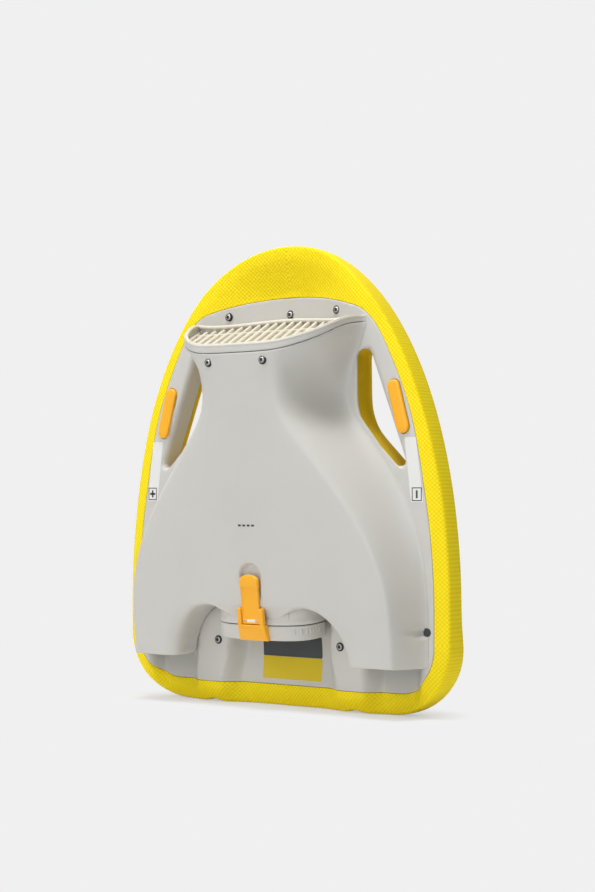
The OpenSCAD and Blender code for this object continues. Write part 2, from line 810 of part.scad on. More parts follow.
// Four charge lamps in the cover
led_z = 188;
led_pitch = 5.6;
led_w = 3.4;
led_h = 1.8;
module led_places() {
    for (i = [-1.5 : 1 : 1.5])
        translate([i * led_pitch, crest_y(led_z), led_z]) rotate([pod_tilt, 0, 0]) children();
}
module led_block(w, h, from, to) {
    translate([-w / 2, from, -h / 2]) cube([w, to - from, h]);
}
module led_lenses() {
    color(dark) led_places() led_block(led_w, led_h, 0.2, cover_t);
}

// Jet drives, drawn with the duct along Z
hub_t = 2;
hub_gap = 0.2;
hub_low = 8;
vane_count = 5;
vane_t = 2;
mouth_r = 4;
seal_t = 2.5;
prop_low = hub_low + motor_l + hub_t + seal_t + 3;
prop_hub_r = 7;
prop_hub_h = 14;
blade_gap = 1;
blade_pitch = 44;
blade_span = 62;
blade_t = 1.8;
module duct_place() {
    translate([duct_x, duct_y, jet_z + 2]) children();
}
module duct() {
    in_r = duct_r - duct_t;
    hub_r = motor_r + hub_gap + hub_t;
    color(dark)
    duct_place() {
        rotate_extrude()
            polygon([[in_r, 0], [duct_r, 0], [duct_r, duct_l],
                [in_r + duct_t / 2, duct_l], [in_r, duct_l - mouth_r]]);
        difference() {
            union() {
                translate([0, 0, hub_low - hub_t]) cylinder(h = motor_l + 2 * hub_t, r = hub_r);
                for (i = [0 : vane_count - 1])
                    rotate(360 * i / vane_count)
                        translate([hub_r - over, -vane_t / 2, hub_low])
                            cube([in_r - hub_r + over + duct_t / 2, vane_t, motor_l]);
            }
            translate([0, 0, hub_low]) cylinder(h = motor_l, r = motor_r + hub_gap);
            translate([0, 0, hub_low]) cylinder(h = motor_l + 3 * hub_t, r = shaft_r + 2 * run_gap);
        }
    }
}
module motor() {
    color(steel)
    duct_place()
    difference() {
        translate([0, 0, hub_low]) cylinder(h = motor_l, r = motor_r);
        translate([0, 0, hub_low + motor_l / 4]) cylinder(h = motor_l, r = shaft_r + run_gap);
    }
}
module shaft_seal() {
    color(dark)
    duct_place()
    translate([0, 0, hub_low + motor_l + hub_t + 0.1])
    difference() {
        cylinder(h = seal_t, r = motor_r);
        translate([0, 0, -over]) cylinder(h = seal_t + 2 * over, r = shaft_r + run_gap);
    }
}
module shaft() {
    low = hub_low + motor_l / 4 + seat_gap;
    color(steel)
    duct_place()
    translate([0, 0, low]) cylinder(h = prop_low + prop_hub_h - low, r = shaft_r);
}
blade_rows = 5;
blade_cols = 5;
function blade_point(r, t, lift) =
    let (a = blade_span * (t - 0.5), h = blade_pitch * a / 360)
    [r * sin(a), -r * cos(a), prop_low + prop_hub_h / 2 + h + lift];
function blade_radius(i) =
    prop_hub_r - over + (duct_r - duct_t - blade_gap - prop_hub_r + over) * i / blade_rows;
function blade_chord(i) = 1 - 0.35 * pow(i / blade_rows, 3);
module blade() {
    half = blade_t / 2;
    upper = [for (j = [0 : blade_cols]) [for (i = [0 : blade_rows])
        blade_point(blade_radius(i), 0.5 + (j / blade_cols - 0.5) * blade_chord(i), half)]];
    lower = [for (j = [0 : blade_cols]) [for (i = [0 : blade_rows])
        blade_point(blade_radius(i), 0.5 + (j / blade_cols - 0.5) * blade_chord(i), -half)]];
    sheet(upper, lower);
}
module propeller(turn) {
    color(orange)
    duct_place()
    mirror([turn < 0 ? 1 : 0, 0, 0])
    difference() {
        union() {
            rotate_extrude()
                polygon(concat(
                    [[0, prop_low], [prop_hub_r, prop_low]],
                    [for (a = [0 : 15 : 90])
                        [prop_hub_r * cos(a), prop_low + prop_hub_h + prop_hub_r * sin(a)]]));
            for (i = [0 : blade_count - 1]) rotate(360 * i / blade_count) blade();
        }
        translate([0, 0, prop_low - over]) cylinder(h = prop_hub_h + 2 * over, r = shaft_r + 0.02);
    }
}

// Screws: a button head with a hex socket on a plain shank, along Y
head_h = 2.2;
head_lift = 0.2;
socket_r = 1.45;
socket_d = 1.3;
screw_l = 9;
module along_screw(from, to, r) {
    translate([0, from, 0]) rotate([-90, 0, 0]) cylinder(h = to - from, r = r);
}
module screw(length) {
    translate([0, -head_lift, 0])
    rotate([-90, 0, 0])
    difference() {
        rotate_extrude()
            polygon(concat(
                [[0, length], [screw_r, length], [screw_r, 0], [head_r, 0]],
                [for (a = [15 : 15 : 75]) [head_r * cos(a), -head_h * sin(a)]],
                [[0, -head_h]]));
        translate([0, 0, -head_h - over]) cylinder(h = socket_d + over, r = socket_r, $fn = 6);
    }
}

// Places of the screws that hold the shell to the board, each square to the face
flange_x = 69.6;
flange_drop = 21;
flange_z = base_top - flange_drop;
tail_x = 78;
tail_z = 66;
module face_place(x, z) {
    translate([x, base_face(x, z), z]) rotate([0, 0, face_turn(x, z)]) children();
}
module flange_places() {
    for (x = [-flange_x, 0, flange_x]) face_place(x, flange_z) children();
}
module tail_places() {
    for (x = [-tail_x, tail_x]) face_place(x, tail_z) children();
}
module insert_places() {
    flange_places() children();
    tail_places() children();
}
insert_r = 5;
insert_l = 7;
insert_front = shell_t + 0.9;
module insert_pocket() {
    along_screw(-over, insert_front + insert_l + seat_gap, insert_r + seat_gap);
}
module flange_screws() {
    color(steel) flange_places() screw(screw_l);
}
module tail_screws() {
    color(steel) tail_places() screw(screw_l);
}
module screw_inserts() {
    color(dark)
    insert_places()
    difference() {
        along_screw(insert_front, insert_front + insert_l, insert_r);
        along_screw(insert_front - over, insert_front + insert_l + over, screw_r + run_gap);
    }
}

// Two screws in the cover under the intake
cover_screw_u = 0.36;
cover_screw_drop = 8;
cover_screw_z = intake_z - cover_screw_drop;
cover_screw_l = 8;
module cover_screw_place() {
    p = cover_point(cover_screw_u, cover_screw_z);
    across = cover_point(cover_screw_u + 0.01, cover_screw_z) - p;
    along = cover_point(cover_screw_u, cover_screw_z + over) - p;
    translate(p) rotate([-atan(along[1] / along[2]), 0, atan2(across[1], across[0])]) children();
}
module cover_screws() {
    color(steel)
    for (side = [-1, 1]) on_side(side) cover_screw_place() screw(cover_screw_l);
}

// Two screws beside the outer foot of the jets
side_z = 84;
side_screw_l = 2.2;
module side_places() {
    for (side = [-1, 1]) on_side(side) translate([jet_foot + head_r, rail_y, side_z]) children();
}
module side_screws() {
    color(steel) side_places() screw(side_screw_l);
}

module left_button() { on_side(-1) button(); }
module right_button() { on_side(1) button(); }
module left_button_tray() { on_side(-1) button_tray(); }
module right_button_tray() { on_side(1) button_tray(); }
module left_button_spring() { on_side(-1) button_spring(); }
module right_button_spring() { on_side(1) button_spring(); }
module left_duct() { on_side(-1) duct(); }
module right_duct() { on_side(1) duct(); }
module left_motor() { on_side(-1) motor(); }
module right_motor() { on_side(1) motor(); }
module left_shaft_seal() { on_side(-1) shaft_seal(); }
module right_shaft_seal() { on_side(1) shaft_seal(); }
module left_shaft() { on_side(-1) shaft(); }
module right_shaft() { on_side(1) shaft(); }
module left_propeller() { on_side(-1) propeller(1); }
module right_propeller() { on_side(1) propeller(1); }

foam_board();
base_shell();
housing_cover();
intake_frame();
intake_grille();
left_button();
right_button();
left_button_tray();
right_button_tray();
left_button_spring();
right_button_spring();
battery_case();
battery_pack();
battery_contacts();
control_board();
battery_lid();
lid_gasket();
lid_hinge_pin();
latch_frame();
latch_lever();
latch_pin();
latch_keeper();
led_lenses();
left_duct();
right_duct();
left_motor();
right_motor();
left_shaft_seal();
right_shaft_seal();
left_shaft();
right_shaft();
left_propeller();
right_propeller();
flange_screws();
cover_screws();
tail_screws();
side_screws();
screw_inserts();
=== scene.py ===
# %% [markdown]
# # A powered swimming kickboard
# A yellow foam board stands on its tail and shows its underside: a pale grey housing that draws water
# in through a grille under the nose and drives it out of two jets at the tail.
# The packed CAD model is the fixed frame of this scene. It comes first, because every piece below is
# worked out in the same place and size as the solid it stands for.

# %% Load the packed frame
import json

import bmesh
import bpy
import numpy as np
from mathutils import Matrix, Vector
from mathutils.geometry import delaunay_2d_cdt

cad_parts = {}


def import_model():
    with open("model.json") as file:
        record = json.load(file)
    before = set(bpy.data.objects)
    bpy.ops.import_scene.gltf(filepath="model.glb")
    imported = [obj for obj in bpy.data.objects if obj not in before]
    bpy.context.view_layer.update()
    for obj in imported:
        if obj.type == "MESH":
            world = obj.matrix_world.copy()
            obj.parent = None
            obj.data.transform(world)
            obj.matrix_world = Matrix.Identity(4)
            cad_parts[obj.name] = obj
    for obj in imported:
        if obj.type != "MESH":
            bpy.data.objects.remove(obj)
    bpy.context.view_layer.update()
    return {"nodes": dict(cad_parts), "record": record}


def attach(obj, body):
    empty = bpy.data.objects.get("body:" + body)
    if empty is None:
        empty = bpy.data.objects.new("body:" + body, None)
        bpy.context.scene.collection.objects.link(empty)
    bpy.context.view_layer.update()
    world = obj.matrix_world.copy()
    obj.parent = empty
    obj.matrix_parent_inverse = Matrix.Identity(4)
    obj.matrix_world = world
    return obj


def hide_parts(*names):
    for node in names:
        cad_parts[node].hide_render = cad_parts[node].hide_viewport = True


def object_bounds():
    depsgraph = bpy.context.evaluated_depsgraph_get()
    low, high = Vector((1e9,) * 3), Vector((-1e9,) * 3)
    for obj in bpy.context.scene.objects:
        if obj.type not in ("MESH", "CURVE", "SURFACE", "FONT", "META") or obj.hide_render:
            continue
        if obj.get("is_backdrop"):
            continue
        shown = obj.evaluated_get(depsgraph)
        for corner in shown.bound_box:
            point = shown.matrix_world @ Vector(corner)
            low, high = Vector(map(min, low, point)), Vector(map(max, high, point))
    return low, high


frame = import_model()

nodes = frame["nodes"]

# %% [markdown]
# ## The camera
# The photograph was taken from the right of the housing, a little below the middle of the board, with a
# long lens. A camera can be placed by hand, but an aim, a distance and two angles are easier to read.

# %% Camera
AIM = Vector((0.0, 0.0525, 0.270))
DISTANCE, LENS = 1.916, 73.7
AZIMUTH, ELEVATION = np.radians(36.0), np.radians(-1.4)


def new_object(name, data):
    """An object at the origin that shows its data in the scene."""
    made = bpy.data.objects.new(name, data)
    bpy.context.scene.collection.objects.link(made)
    return made


level = np.cos(ELEVATION)
back = Vector((np.sin(AZIMUTH) * level, -np.cos(AZIMUTH) * level, np.sin(ELEVATION)))
camera = new_object("camera", bpy.data.cameras.new("camera"))
camera.data.lens = LENS
camera.location = AIM + back * DISTANCE
camera.rotation_euler = (-back).to_track_quat("-Z", "Y").to_euler()
bpy.context.scene.camera = camera
print("camera at", [round(v, 3) for v in camera.location])

# %% [markdown]
# ## Shader sums
# Nodes can be wired one by one, but a finish is easier to follow when it reads like a sum. A tap holds one
# socket, and +, - and * on it add Math nodes. Every other node comes from one method that takes its type,
# its settings and its sockets.

# %% Taps
class Tap:
    """A shader socket in a sum: arithmetic on it adds Math nodes to its tree."""

    def __init__(self, tree, socket=None):
        self.tree = tree
        self.socket = socket

    def put(self, socket, value):
        """Gives a socket a link or a plain value."""
        if isinstance(value, Tap):
            self.tree.links.new(value.socket, socket)
        else:
            socket.default_value = value

    def node(self, kind, settings, sockets, out=0):
        """Adds one node: its settings first, then the values or links of its sockets."""
        made = self.tree.nodes.new(kind)
        for name, value in settings.items():
            setattr(made, name, value)
        for name, value in sockets.items():
            self.put(made.inputs[name], value)
        return Tap(self.tree, made.outputs[out])

    def math(self, operation, *terms):
        """One Math node on its terms."""
        return self.node("ShaderNodeMath", {"operation": operation}, dict(enumerate(terms)))

    def __add__(self, other):
        return self.math("ADD", self, other)

    def __radd__(self, other):
        return self.math("ADD", other, self)

    def __sub__(self, other):
        return self.math("SUBTRACT", self, other)

    def __rsub__(self, other):
        return self.math("SUBTRACT", other, self)

    def __mul__(self, other):
        return self.math("MULTIPLY", self, other)

    def __rmul__(self, other):
        return self.math("MULTIPLY", other, self)

    def noise(self, scale, detail=2.0):
        """Cloudy noise, read at this place; scale is in clouds per unit of length."""
        sockets = {"Vector": self, "Scale": scale, "Detail": detail}
        return self.node("ShaderNodeTexNoise", {}, sockets, "Fac")

    def axis(self, name):
        """One coordinate of this place."""
        return self.node("ShaderNodeSeparateXYZ", {}, {"Vector": self}, name)

    def between(self, low, high):
        """Smooth step of this value from 0 at low to 1 at high."""
        sockets = {"Value": self, "From Min": low, "From Max": high}
        return self.node("ShaderNodeMapRange", {"interpolation_type": "SMOOTHSTEP"}, sockets, "Result")

    def blend(self, first, second):
        """Colour between two colours, by this value."""
        return self.node("ShaderNodeMix", {"data_type": "RGBA"}, {0: self, 6: first, 7: second}, 2)

    def bump(self, strength, depth):
        """Normal of a surface raised by this value, depth in metres."""
        sockets = {"Height": self, "Strength": strength, "Distance": depth}
        return self.node("ShaderNodeBump", {}, sockets, "Normal")


print("a tap adds", len([name for name in vars(Tap) if name.startswith("__r")]), "reflected operators")

# %% New finishes
def colour(red, green, blue):
    """Linear colour from the 0 to 255 values that a picture shows, by the sRGB curve."""
    shown = np.array([red, green, blue]) / 255
    return (*np.where(shown <= 0.04045, shown / 12.92, ((shown + 0.055) / 1.055) ** 2.4).tolist(), 1.0)


def new_finish(name, coordinates="Object", **constants):
    """A material with its constants on the shader's own sockets, those sockets, and a tap on its place."""
    material = bpy.data.materials.new(name)
    material.use_nodes = True
    tree = material.node_tree
    sockets = tree.nodes["Principled BSDF"].inputs
    for socket, value in constants.items():
        sockets[socket.replace("_", " ")].default_value = value
    return material, sockets, Tap(tree).node("ShaderNodeTexCoord", {}, {}, coordinates)


print("a shown 128 is", round(colour(128, 128, 128)[0], 3), "in linear light")

# %% [markdown]
# ## Finishes
# The board is closed-cell foam with a fine knit pressed into its skin. The housing is satin plastic with
# a spark-eroded grain, the latch and buttons are a smoother orange plastic. Pictures of such surfaces could
# be wrapped round the pieces, but noise at the size of the real grain needs no files, has no seams, and
# drives colour, roughness and bump together, so that the pieces don't look dipped in paint.

# %% Foam with a pressed knit
SKIN_SCALE = 0.01
KNIT_PITCH, FUZZ_SCALE, FUZZ_SHIFT = 0.043, 70.0, 0.003
WALL_SHADE_SHIFT = 1000.0
WALL_SHADE_GATE, WALL_SHADE_FADE = (5.0, 6.0), (10.20, 10.38)
THREAD_SHARE, FUZZ_SHARE, PALE, WORN_SCALE, WORN_SHARE = 0.75, 0.5, (0.25, 0.95), 2.2, 0.3
FOAM_ROUGH, FUZZ_ROUGH, FUZZ_LIFT, KNIT_STRENGTH, KNIT_DEPTH = 0.6, 0.2, 0.3, 0.3, 0.0008
FOAM_GLOSS = 0.12
# Gap and thread tones: painted shade in the knit's gaps and a painted highlight on its threads.
KNIT_GAP_SHADE, THREAD_HIGHLIGHT = colour(250, 210, 0), colour(255, 242, 48)
# The last tone is a painted shade for the walls of the hand holes.
WORN, WALL_SHADE = colour(252, 216, 0), colour(214, 178, 0)


def knit_foam():
    """Product of two sine waves: threads stand up with a paler tone as a painted highlight, and the gaps
    between them a deeper yellow as painted shade.

    The texture place counts 100 mm as 1. The hand holes' walls are told apart by a large shift of theirs,
    and get a painted shade near the grips: a deeper yellow that fades out on the way to the deck.
    """
    material, sockets, skin = new_finish("knit_foam", "UV", Specular_IOR_Level=FOAM_GLOSS)
    fuzz = skin.noise(FUZZ_SCALE, 3.0)
    across, along = skin.axis("X"), skin.axis("Y")
    wave = 2 * np.pi / KNIT_PITCH
    warp, weft = (skin.math("SINE", (way + fuzz * FUZZ_SHIFT) * wave) for way in (across, along))
    threads = warp * weft * 0.5 + 0.5
    # Paler threads are a painted highlight and deeper gaps are painted shade of the knit's relief; the fuzz
    # adds random tone.
    tone = (threads * THREAD_SHARE + fuzz * FUZZ_SHARE).between(*PALE).blend(KNIT_GAP_SHADE, THREAD_HIGHLIGHT)
    tone = (skin.noise(WORN_SCALE) * WORN_SHARE).blend(tone, WORN)
    # Painted shade on the hand holes' walls: darkest from the recess, fading out on the way to the deck.
    wall = along.between(*WALL_SHADE_GATE) * (1 - along.between(*WALL_SHADE_FADE))
    skin.put(sockets["Base Color"], wall.blend(tone, WALL_SHADE))
    skin.put(sockets["Roughness"], fuzz * FUZZ_ROUGH + FOAM_ROUGH)
    skin.put(sockets["Normal"], (threads + fuzz * FUZZ_LIFT).bump(KNIT_STRENGTH, KNIT_DEPTH))
    return material


FOAM = knit_foam()
print(FOAM.name, "has", len(FOAM.node_tree.nodes), "nodes")

# %% Moulded plastics
CLOUD_SCALE, CLOUD_SHARE = 14.0, 0.7
GRAIN_SCALE, GRAIN_ROUGH, GRAIN_STRENGTH, GRAIN_LIFT, LABEL_LIFT = 1500.0, 0.14, 0.35, 0.00006, 0.00002


def moulded(name, light, dark, rough, grain=GRAIN_SCALE, lift=GRAIN_LIFT):
    """Satin moulding: slow clouds in its colour, fine grain in its roughness and bump."""
    material, sockets, skin = new_finish(name)
    cloud, speck = skin.noise(CLOUD_SCALE, 3.0), skin.noise(grain)
    mixed = cloud * CLOUD_SHARE + speck * (1 - CLOUD_SHARE)
    skin.put(sockets["Base Color"], mixed.blend(colour(*dark), colour(*light)))
    skin.put(sockets["Roughness"], speck * GRAIN_ROUGH + (rough - GRAIN_ROUGH / 2))
    skin.put(sockets["Normal"], speck.bump(GRAIN_STRENGTH, lift))
    return material


GREY = moulded("grey_moulding", (208, 206, 201), (198, 196, 190), 0.46)
CREAM = moulded("cream_moulding", (228, 223, 210), (216, 210, 195), 0.44)
ORANGE = moulded("orange_moulding", (255, 188, 34), (248, 170, 22), 0.38)
DARK = moulded("dark_moulding", (52, 53, 56), (36, 37, 40), 0.5)
# A dark tone of painted shade, for the sheet behind the grille.
SHADE = moulded("painted_shade_sheet", (112, 104, 94), (96, 88, 80), 0.6)
WHITE = moulded("white_label", (234, 234, 232), (226, 226, 224), 0.4, lift=LABEL_LIFT)
CHARCOAL = moulded("charcoal_label", (64, 66, 70), (54, 56, 60), 0.42, lift=LABEL_LIFT)
LEMON = moulded("yellow_label", (224, 198, 14), (214, 186, 8), 0.42, lift=LABEL_LIFT)
RUBBER = moulded("seal_rubber", (38, 38, 39), (26, 26, 27), 0.7, 700.0)
CELLS = moulded("cell_wrap", (62, 66, 74), (48, 52, 60), 0.35, 400.0)
BOARD = moulded("solder_mask", (28, 104, 62), (16, 84, 48), 0.3, 300.0)
print(len(bpy.data.materials), "finishes so far")

# %% Turned metal
MARK_SCALE, MARK_STRETCH, MARK_STRENGTH, MARK_DEPTH = 2600.0, (1.0, 0.15, 1.0), 0.2, 0.00004
STEEL_ROUGH, MARK_ROUGH = 0.24, 0.2


def turned_steel(name, light, dark):
    """Turned metal: noise stretched along one axis gives fine tool marks in colour and roughness."""
    material, sockets, skin = new_finish(name, Metallic=1.0)
    stretched = skin.node("ShaderNodeMapping", {}, {"Vector": skin, "Scale": MARK_STRETCH})
    marks = stretched.noise(MARK_SCALE, 3.0)
    skin.put(sockets["Base Color"], marks.blend(colour(*dark), colour(*light)))
    skin.put(sockets["Roughness"], marks * MARK_ROUGH + STEEL_ROUGH)
    skin.put(sockets["Normal"], marks.bump(MARK_STRENGTH, MARK_DEPTH))
    return material


STEEL = turned_steel("turned_steel", (206, 203, 198), (150, 148, 144))
CAN = turned_steel("motor_can", (150, 152, 156), (116, 118, 122))
print(len(bpy.data.materials), "finishes")

# %% [markdown]
# ## Surfaces from arrays
# The object is a set of mouldings, whose drawings give sizes and curves. They could be modelled by hand, but
# a curve that is worked out keeps its size and can be changed by one number. So every new piece is one or
# more grids of points. Neighbours in the grid make the faces, patches that share an edge are merged, and the
# result is shaded smooth except at true edges. Sizes are in millimetres, and turn into metres only when the
# mesh is made.

# %% Mesh makers
MM = 0.001
MERGE = 0.000002


def grid_faces(rows, cols, wrap=False):
    """Quads between neighbours of a grid; wrap joins its last column to its first."""
    row = np.arange(rows - 1)[:, None] * cols
    col = np.arange(cols if wrap else cols - 1)[None, :]
    after = (col + 1) % cols
    return np.stack([row + col, row + after, row + cols + after, row + cols + col], -1).reshape(-1, 4)


def patch(points, wrap=False, skin=None):
    """A grid of points, its faces and its texture place, which is X and Z where no skin is given."""
    flat = points.reshape(-1, 3)
    place = flat[:, [0, 2]] if skin is None else skin.reshape(-1, 2)
    return flat, grid_faces(*points.shape[:2], wrap).tolist(), place


def make_piece(name, patches, finish, body, replaces=(), crease=35.0, wall=0.0):
    """Joins patches into one mesh that rides on a body, merges shared edges, and gives a sheet its wall."""
    starts = np.cumsum([0] + [len(p[0]) for p in patches])
    faces = [[i + start for i in face] for start, p in zip(starts, patches) for face in p[1]]
    mesh = bpy.data.meshes.new(name)
    mesh.from_pydata((np.concatenate([p[0] for p in patches]) * MM).tolist(), [], faces)
    corners = np.zeros(len(mesh.loops), np.int32)
    mesh.loops.foreach_get("vertex_index", corners)
    skin = np.concatenate([p[2] for p in patches])[corners] * SKIN_SCALE
    mesh.uv_layers.new(name="skin").data.foreach_set("uv", skin.astype(np.float32).ravel())
    work = bmesh.new()
    work.from_mesh(mesh)
    bmesh.ops.remove_doubles(work, verts=work.verts, dist=MERGE)
    bmesh.ops.dissolve_degenerate(work, edges=work.edges, dist=MERGE)
    work.to_mesh(mesh)
    work.free()
    mesh.shade_smooth()
    mesh.set_sharp_from_angle(angle=np.radians(crease))
    mesh.materials.append(finish)
    piece = new_object(name, mesh)
    if wall:
        solid = piece.modifiers.new("wall", "SOLIDIFY")
        solid.thickness = wall * MM
        solid.offset = -1.0
    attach(piece, body)
    if replaces:
        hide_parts(*replaces)
    print(name, len(mesh.vertices), "points", len(mesh.polygons), "faces")
    return piece


print("a grid of 3 by 4 points has", len(grid_faces(3, 4)), "faces")

# %% Lines and loops
MITRE = 0.985


def circle(radius, count):
    """Points round a circle about the origin, anticlockwise."""
    turn = np.linspace(0, 2 * np.pi, count, endpoint=False)
    return radius * np.stack([np.cos(turn), np.sin(turn)], 1)


def resample(points, count, closed=True):
    """Points at equal steps along a line, or round a loop."""
    path = np.vstack([points, points[:1]]) if closed else points
    run = np.concatenate([[0], np.cumsum(np.linalg.norm(np.diff(path, axis=0), axis=1))])
    at = np.linspace(0, run[-1], count, endpoint=not closed)
    return np.stack([np.interp(at, run, path[:, k]) for k in range(path.shape[1])], 1)


def soft_loop(corners, count, soft):
    """A loop through corners, rounded by a bell-shaped average along it that is soft millimetres wide."""
    loop = resample(np.array(corners, float), count)
    step = np.linalg.norm(np.diff(loop, axis=0), axis=1).mean()
    damp = np.exp(-2 * (np.pi * np.fft.fftfreq(count) * soft / step) ** 2)
    return np.fft.ifft(np.fft.fft(loop, axis=0) * damp[:, None], axis=0).real


def loop_normals(loop):
    """Outward directions of an anticlockwise loop: its run turned a quarter turn clockwise."""
    run = np.roll(loop, -1, 0) - np.roll(loop, 1, 0)
    out = np.stack([run[:, 1], -run[:, 0]], 1)
    return out / np.linalg.norm(out, axis=1, keepdims=True)


def mirrored(loop):
    """The same loop on the left, still anticlockwise."""
    return (loop * [-1, 1])[::-1]


def drawn_in(loop, inset):
    """A loop drawn in by an inset; points that would cross at a tight corner slide along to its mitre."""
    moved = loop - inset * loop_normals(loop)
    away = np.linalg.norm(moved[:, None] - loop[None], axis=2).min(1)
    good = np.flatnonzero(away > abs(inset) * MITRE - 1e-9)
    index = np.arange(len(loop))
    return np.stack([np.interp(index, good, moved[good, k], period=len(loop)) for k in (0, 1)], 1)


print("a circle drawn in from 10 to", round(float(drawn_in(circle(10.0, 36), 4.0)[0, 0]), 2))

# %% Mouldings
def moulding(loop, profile, place):
    """A solid from a plan loop: each (inset, height) of the profile is one ring, and flat ends close it."""
    insets, heights = np.array(profile, float).T
    plan = np.stack([drawn_in(loop, inset) for inset in insets])
    points = place(plan[..., 0], np.broadcast_to(heights[:, None], plan.shape[:2]), plan[..., 1])
    flat, faces, skin = patch(points, wrap=True)
    count = len(loop)
    ends = [list(range(count))[::-1], list(range(len(flat) - count, len(flat)))]
    return flat, faces + ends, skin


def rounded(inset, top, radius, steps=4):
    """Quarter circle of a profile, from just above the wall at this inset up to the top."""
    turn = np.linspace(0, np.pi / 2, steps)[1:]
    return np.stack([inset + radius * (1 - np.cos(turn)), top - radius * (1 - np.sin(turn))], 1).tolist()


print("a rounded edge ends at", rounded(0.0, 5.0, 1.0)[-1])

# %% Sheets with holes
def inside(points, loop):
    """True where a point is inside a loop: a ray to the right crosses it an odd number of times."""
    x, z = points[:, :1], points[:, 1:]
    a, b = loop[None], np.roll(loop, -1, 0)[None]
    spans = (a[..., 1] > z) != (b[..., 1] > z)
    rise = np.where(b[..., 1] == a[..., 1], 1.0, b[..., 1] - a[..., 1])
    cross = a[..., 0] + (z - a[..., 1]) * (b[..., 0] - a[..., 0]) / rise
    return (spans & (x < cross)).sum(1) % 2 == 1


def clear_of(points, loop, gap):
    """True where a point is outside a loop and at least a gap away from it."""
    away = np.linalg.norm(points[:, None] - loop[None], axis=2).min(1)
    return ~inside(points, loop) & (away > gap)


def trimmed(outer, holes, fill, height, flip=False):
    """A sheet between an outer loop and its holes: loops and fill points are joined into triangles."""
    loops = [outer, *holes]
    edges, start = [], 0
    for loop in loops:
        index = np.arange(len(loop)) + start
        edges += np.stack([index, np.roll(index, -1)], 1).tolist()
        start += len(loop)
    filled = np.stack([fill[:, 0], height(fill[:, 0], fill[:, 1]), fill[:, 1]], 1)
    points = np.concatenate([*loops, filled])
    plan = points[:, [0, 2]]
    _, _, triangles, sources, *_ = delaunay_2d_cdt(plan.tolist(), edges, [], 0, 1e-6)
    home = np.array([ids[0] if ids else -1 for ids in sources])
    tri = home[np.array(triangles)]
    tri = tri[(tri >= 0).all(1)]
    middle = plan[tri].mean(1)
    keep = np.ones(len(tri), bool)
    edge = (tri < start).all(1)
    keep[edge] = inside(middle[edge], outer[:, [0, 2]])
    for hole in holes:
        keep[edge] &= ~inside(middle[edge], hole[:, [0, 2]])
    tri = tri[keep]
    (ax, az), (bx, bz), (cx, cz) = (plan[tri[:, k]].T for k in range(3))
    turned = (bx - ax) * (cz - az) - (bz - az) * (cx - ax) < 0
    tri = np.where((turned != flip)[:, None], tri[:, ::-1], tri)
    return points, tri.tolist(), plan


print("the origin is inside a circle:", bool(inside(np.zeros((1, 2)), circle(1.0, 12))[0]))

# %% [markdown]
# ## The shape of the board
# The drawing describes the board with a few smooth functions: the outline of the foam, the face of the
# grey base shell with its hollows, and the bell of the housing. They come before any piece, because pieces
# that lie on each other then ask the same function for the face they share, and meet without gaps.

# %% Outline and smooth steps
HALF_W, LENGTH, BELT, TAIL_R = 204.0, 478.0, 102.0, 73.0
NOSE = LENGTH - BELT
DECK, LIP, RAIL = 57.0, -57.0, 18.0
SPREAD = np.linspace(-1, 1, 9)
WEIGHT = (1 + np.cos(np.pi * SPREAD)) / (1 + np.cos(np.pi * SPREAD)).sum()


def smooth(t):
    """Rise from 0 to 1 with level ends: three squares less two cubes."""
    t = np.clip(t, 0, 1)
    return t * t * (3 - 2 * t)


def step_up(value, low, high):
    """Smooth rise from 0 where the value is low to 1 where it is high."""
    return smooth((value - low) / (high - low))


def averaged(shape):
    """Bell-shaped average of a shape over offsets from -1 to 1."""
    return sum(weight * shape(offset) for offset, weight in zip(SPREAD, WEIGHT))


def board_half(z):
    """Half width of the foam: an ellipse above the belt, straight sides, round tail corners."""
    nose = HALF_W * np.sqrt(np.clip(1 - ((z - BELT) / NOSE) ** 2, 0, 1))
    tail = HALF_W - TAIL_R + np.sqrt(np.clip(TAIL_R ** 2 - (TAIL_R - z) ** 2, 0, None))
    return np.where(z > BELT, nose, np.where(z < TAIL_R, tail, HALF_W))


print("half width at the tail corner", round(float(board_half(np.array(20.0))), 1), "mm")

# %% Spread of the housing
INTAKE, WAIST, MOUTH, CREST, JET = 361.0, 306.0, 387.0, 366.0, 50.0
WAIST_W, MOUTH_W, JET_W = 93.0, 110.0, 183.0
WAIST_SOFT, FLARE_END, FLARE_POWER = 30.0, JET + 30.0, 2.5
NECK_TOP, NECK_LOW = MOUTH + 6.0, MOUTH - 46.0


def flare(z):
    """Spread from the waist, 0, into the jets, 1: a power curve averaged over a few centimetres."""
    def raw(offset):
        """The power curve, moved up or down."""
        share = np.clip((WAIST - z - WAIST_SOFT * offset) / (WAIST - FLARE_END), 0, 1)
        return 1 - (1 - share) ** FLARE_POWER
    return averaged(raw)


def neck(z):
    """Rise from 0 at the mouth to 1 at the waist."""
    return step_up(z, NECK_TOP, NECK_LOW)


def foot_half(z):
    """Half width of the housing's foot: waist, plus a share of the jets below and of the mouth above."""
    return WAIST_W + (JET_W - WAIST_W) * flare(z) + (MOUTH_W - WAIST_W) * (1 - neck(z))


print("foot half widths", [round(float(foot_half(np.array(z)))) for z in (MOUTH, WAIST, JET)])

# %% Face of the base shell
BASE_TOP, DUCT_X, SHALLOW = 424.5, 143.5, 0.6
DISH_HALF, DISH_Z, DISH_DEEP, DISH_EASE = 110.0, (300, 370), 22.0, 0.45
HOLLOW_X, HOLLOW_SPLAY, HOLLOW_DEEP = (54.0, 68.0), 10.0, 22.0
SPLAY_Z, HOLLOW_TOP, HOLLOW_FOOT = (17, 60), (120, 190), (10, 60)
GROOVE_HALF, GROOVE_EDGE, GROOVE_IN, GROOVE_DEEP, GROOVE_TOP = 20.0, 20.0, 24.0, 16.3, (162, 235)


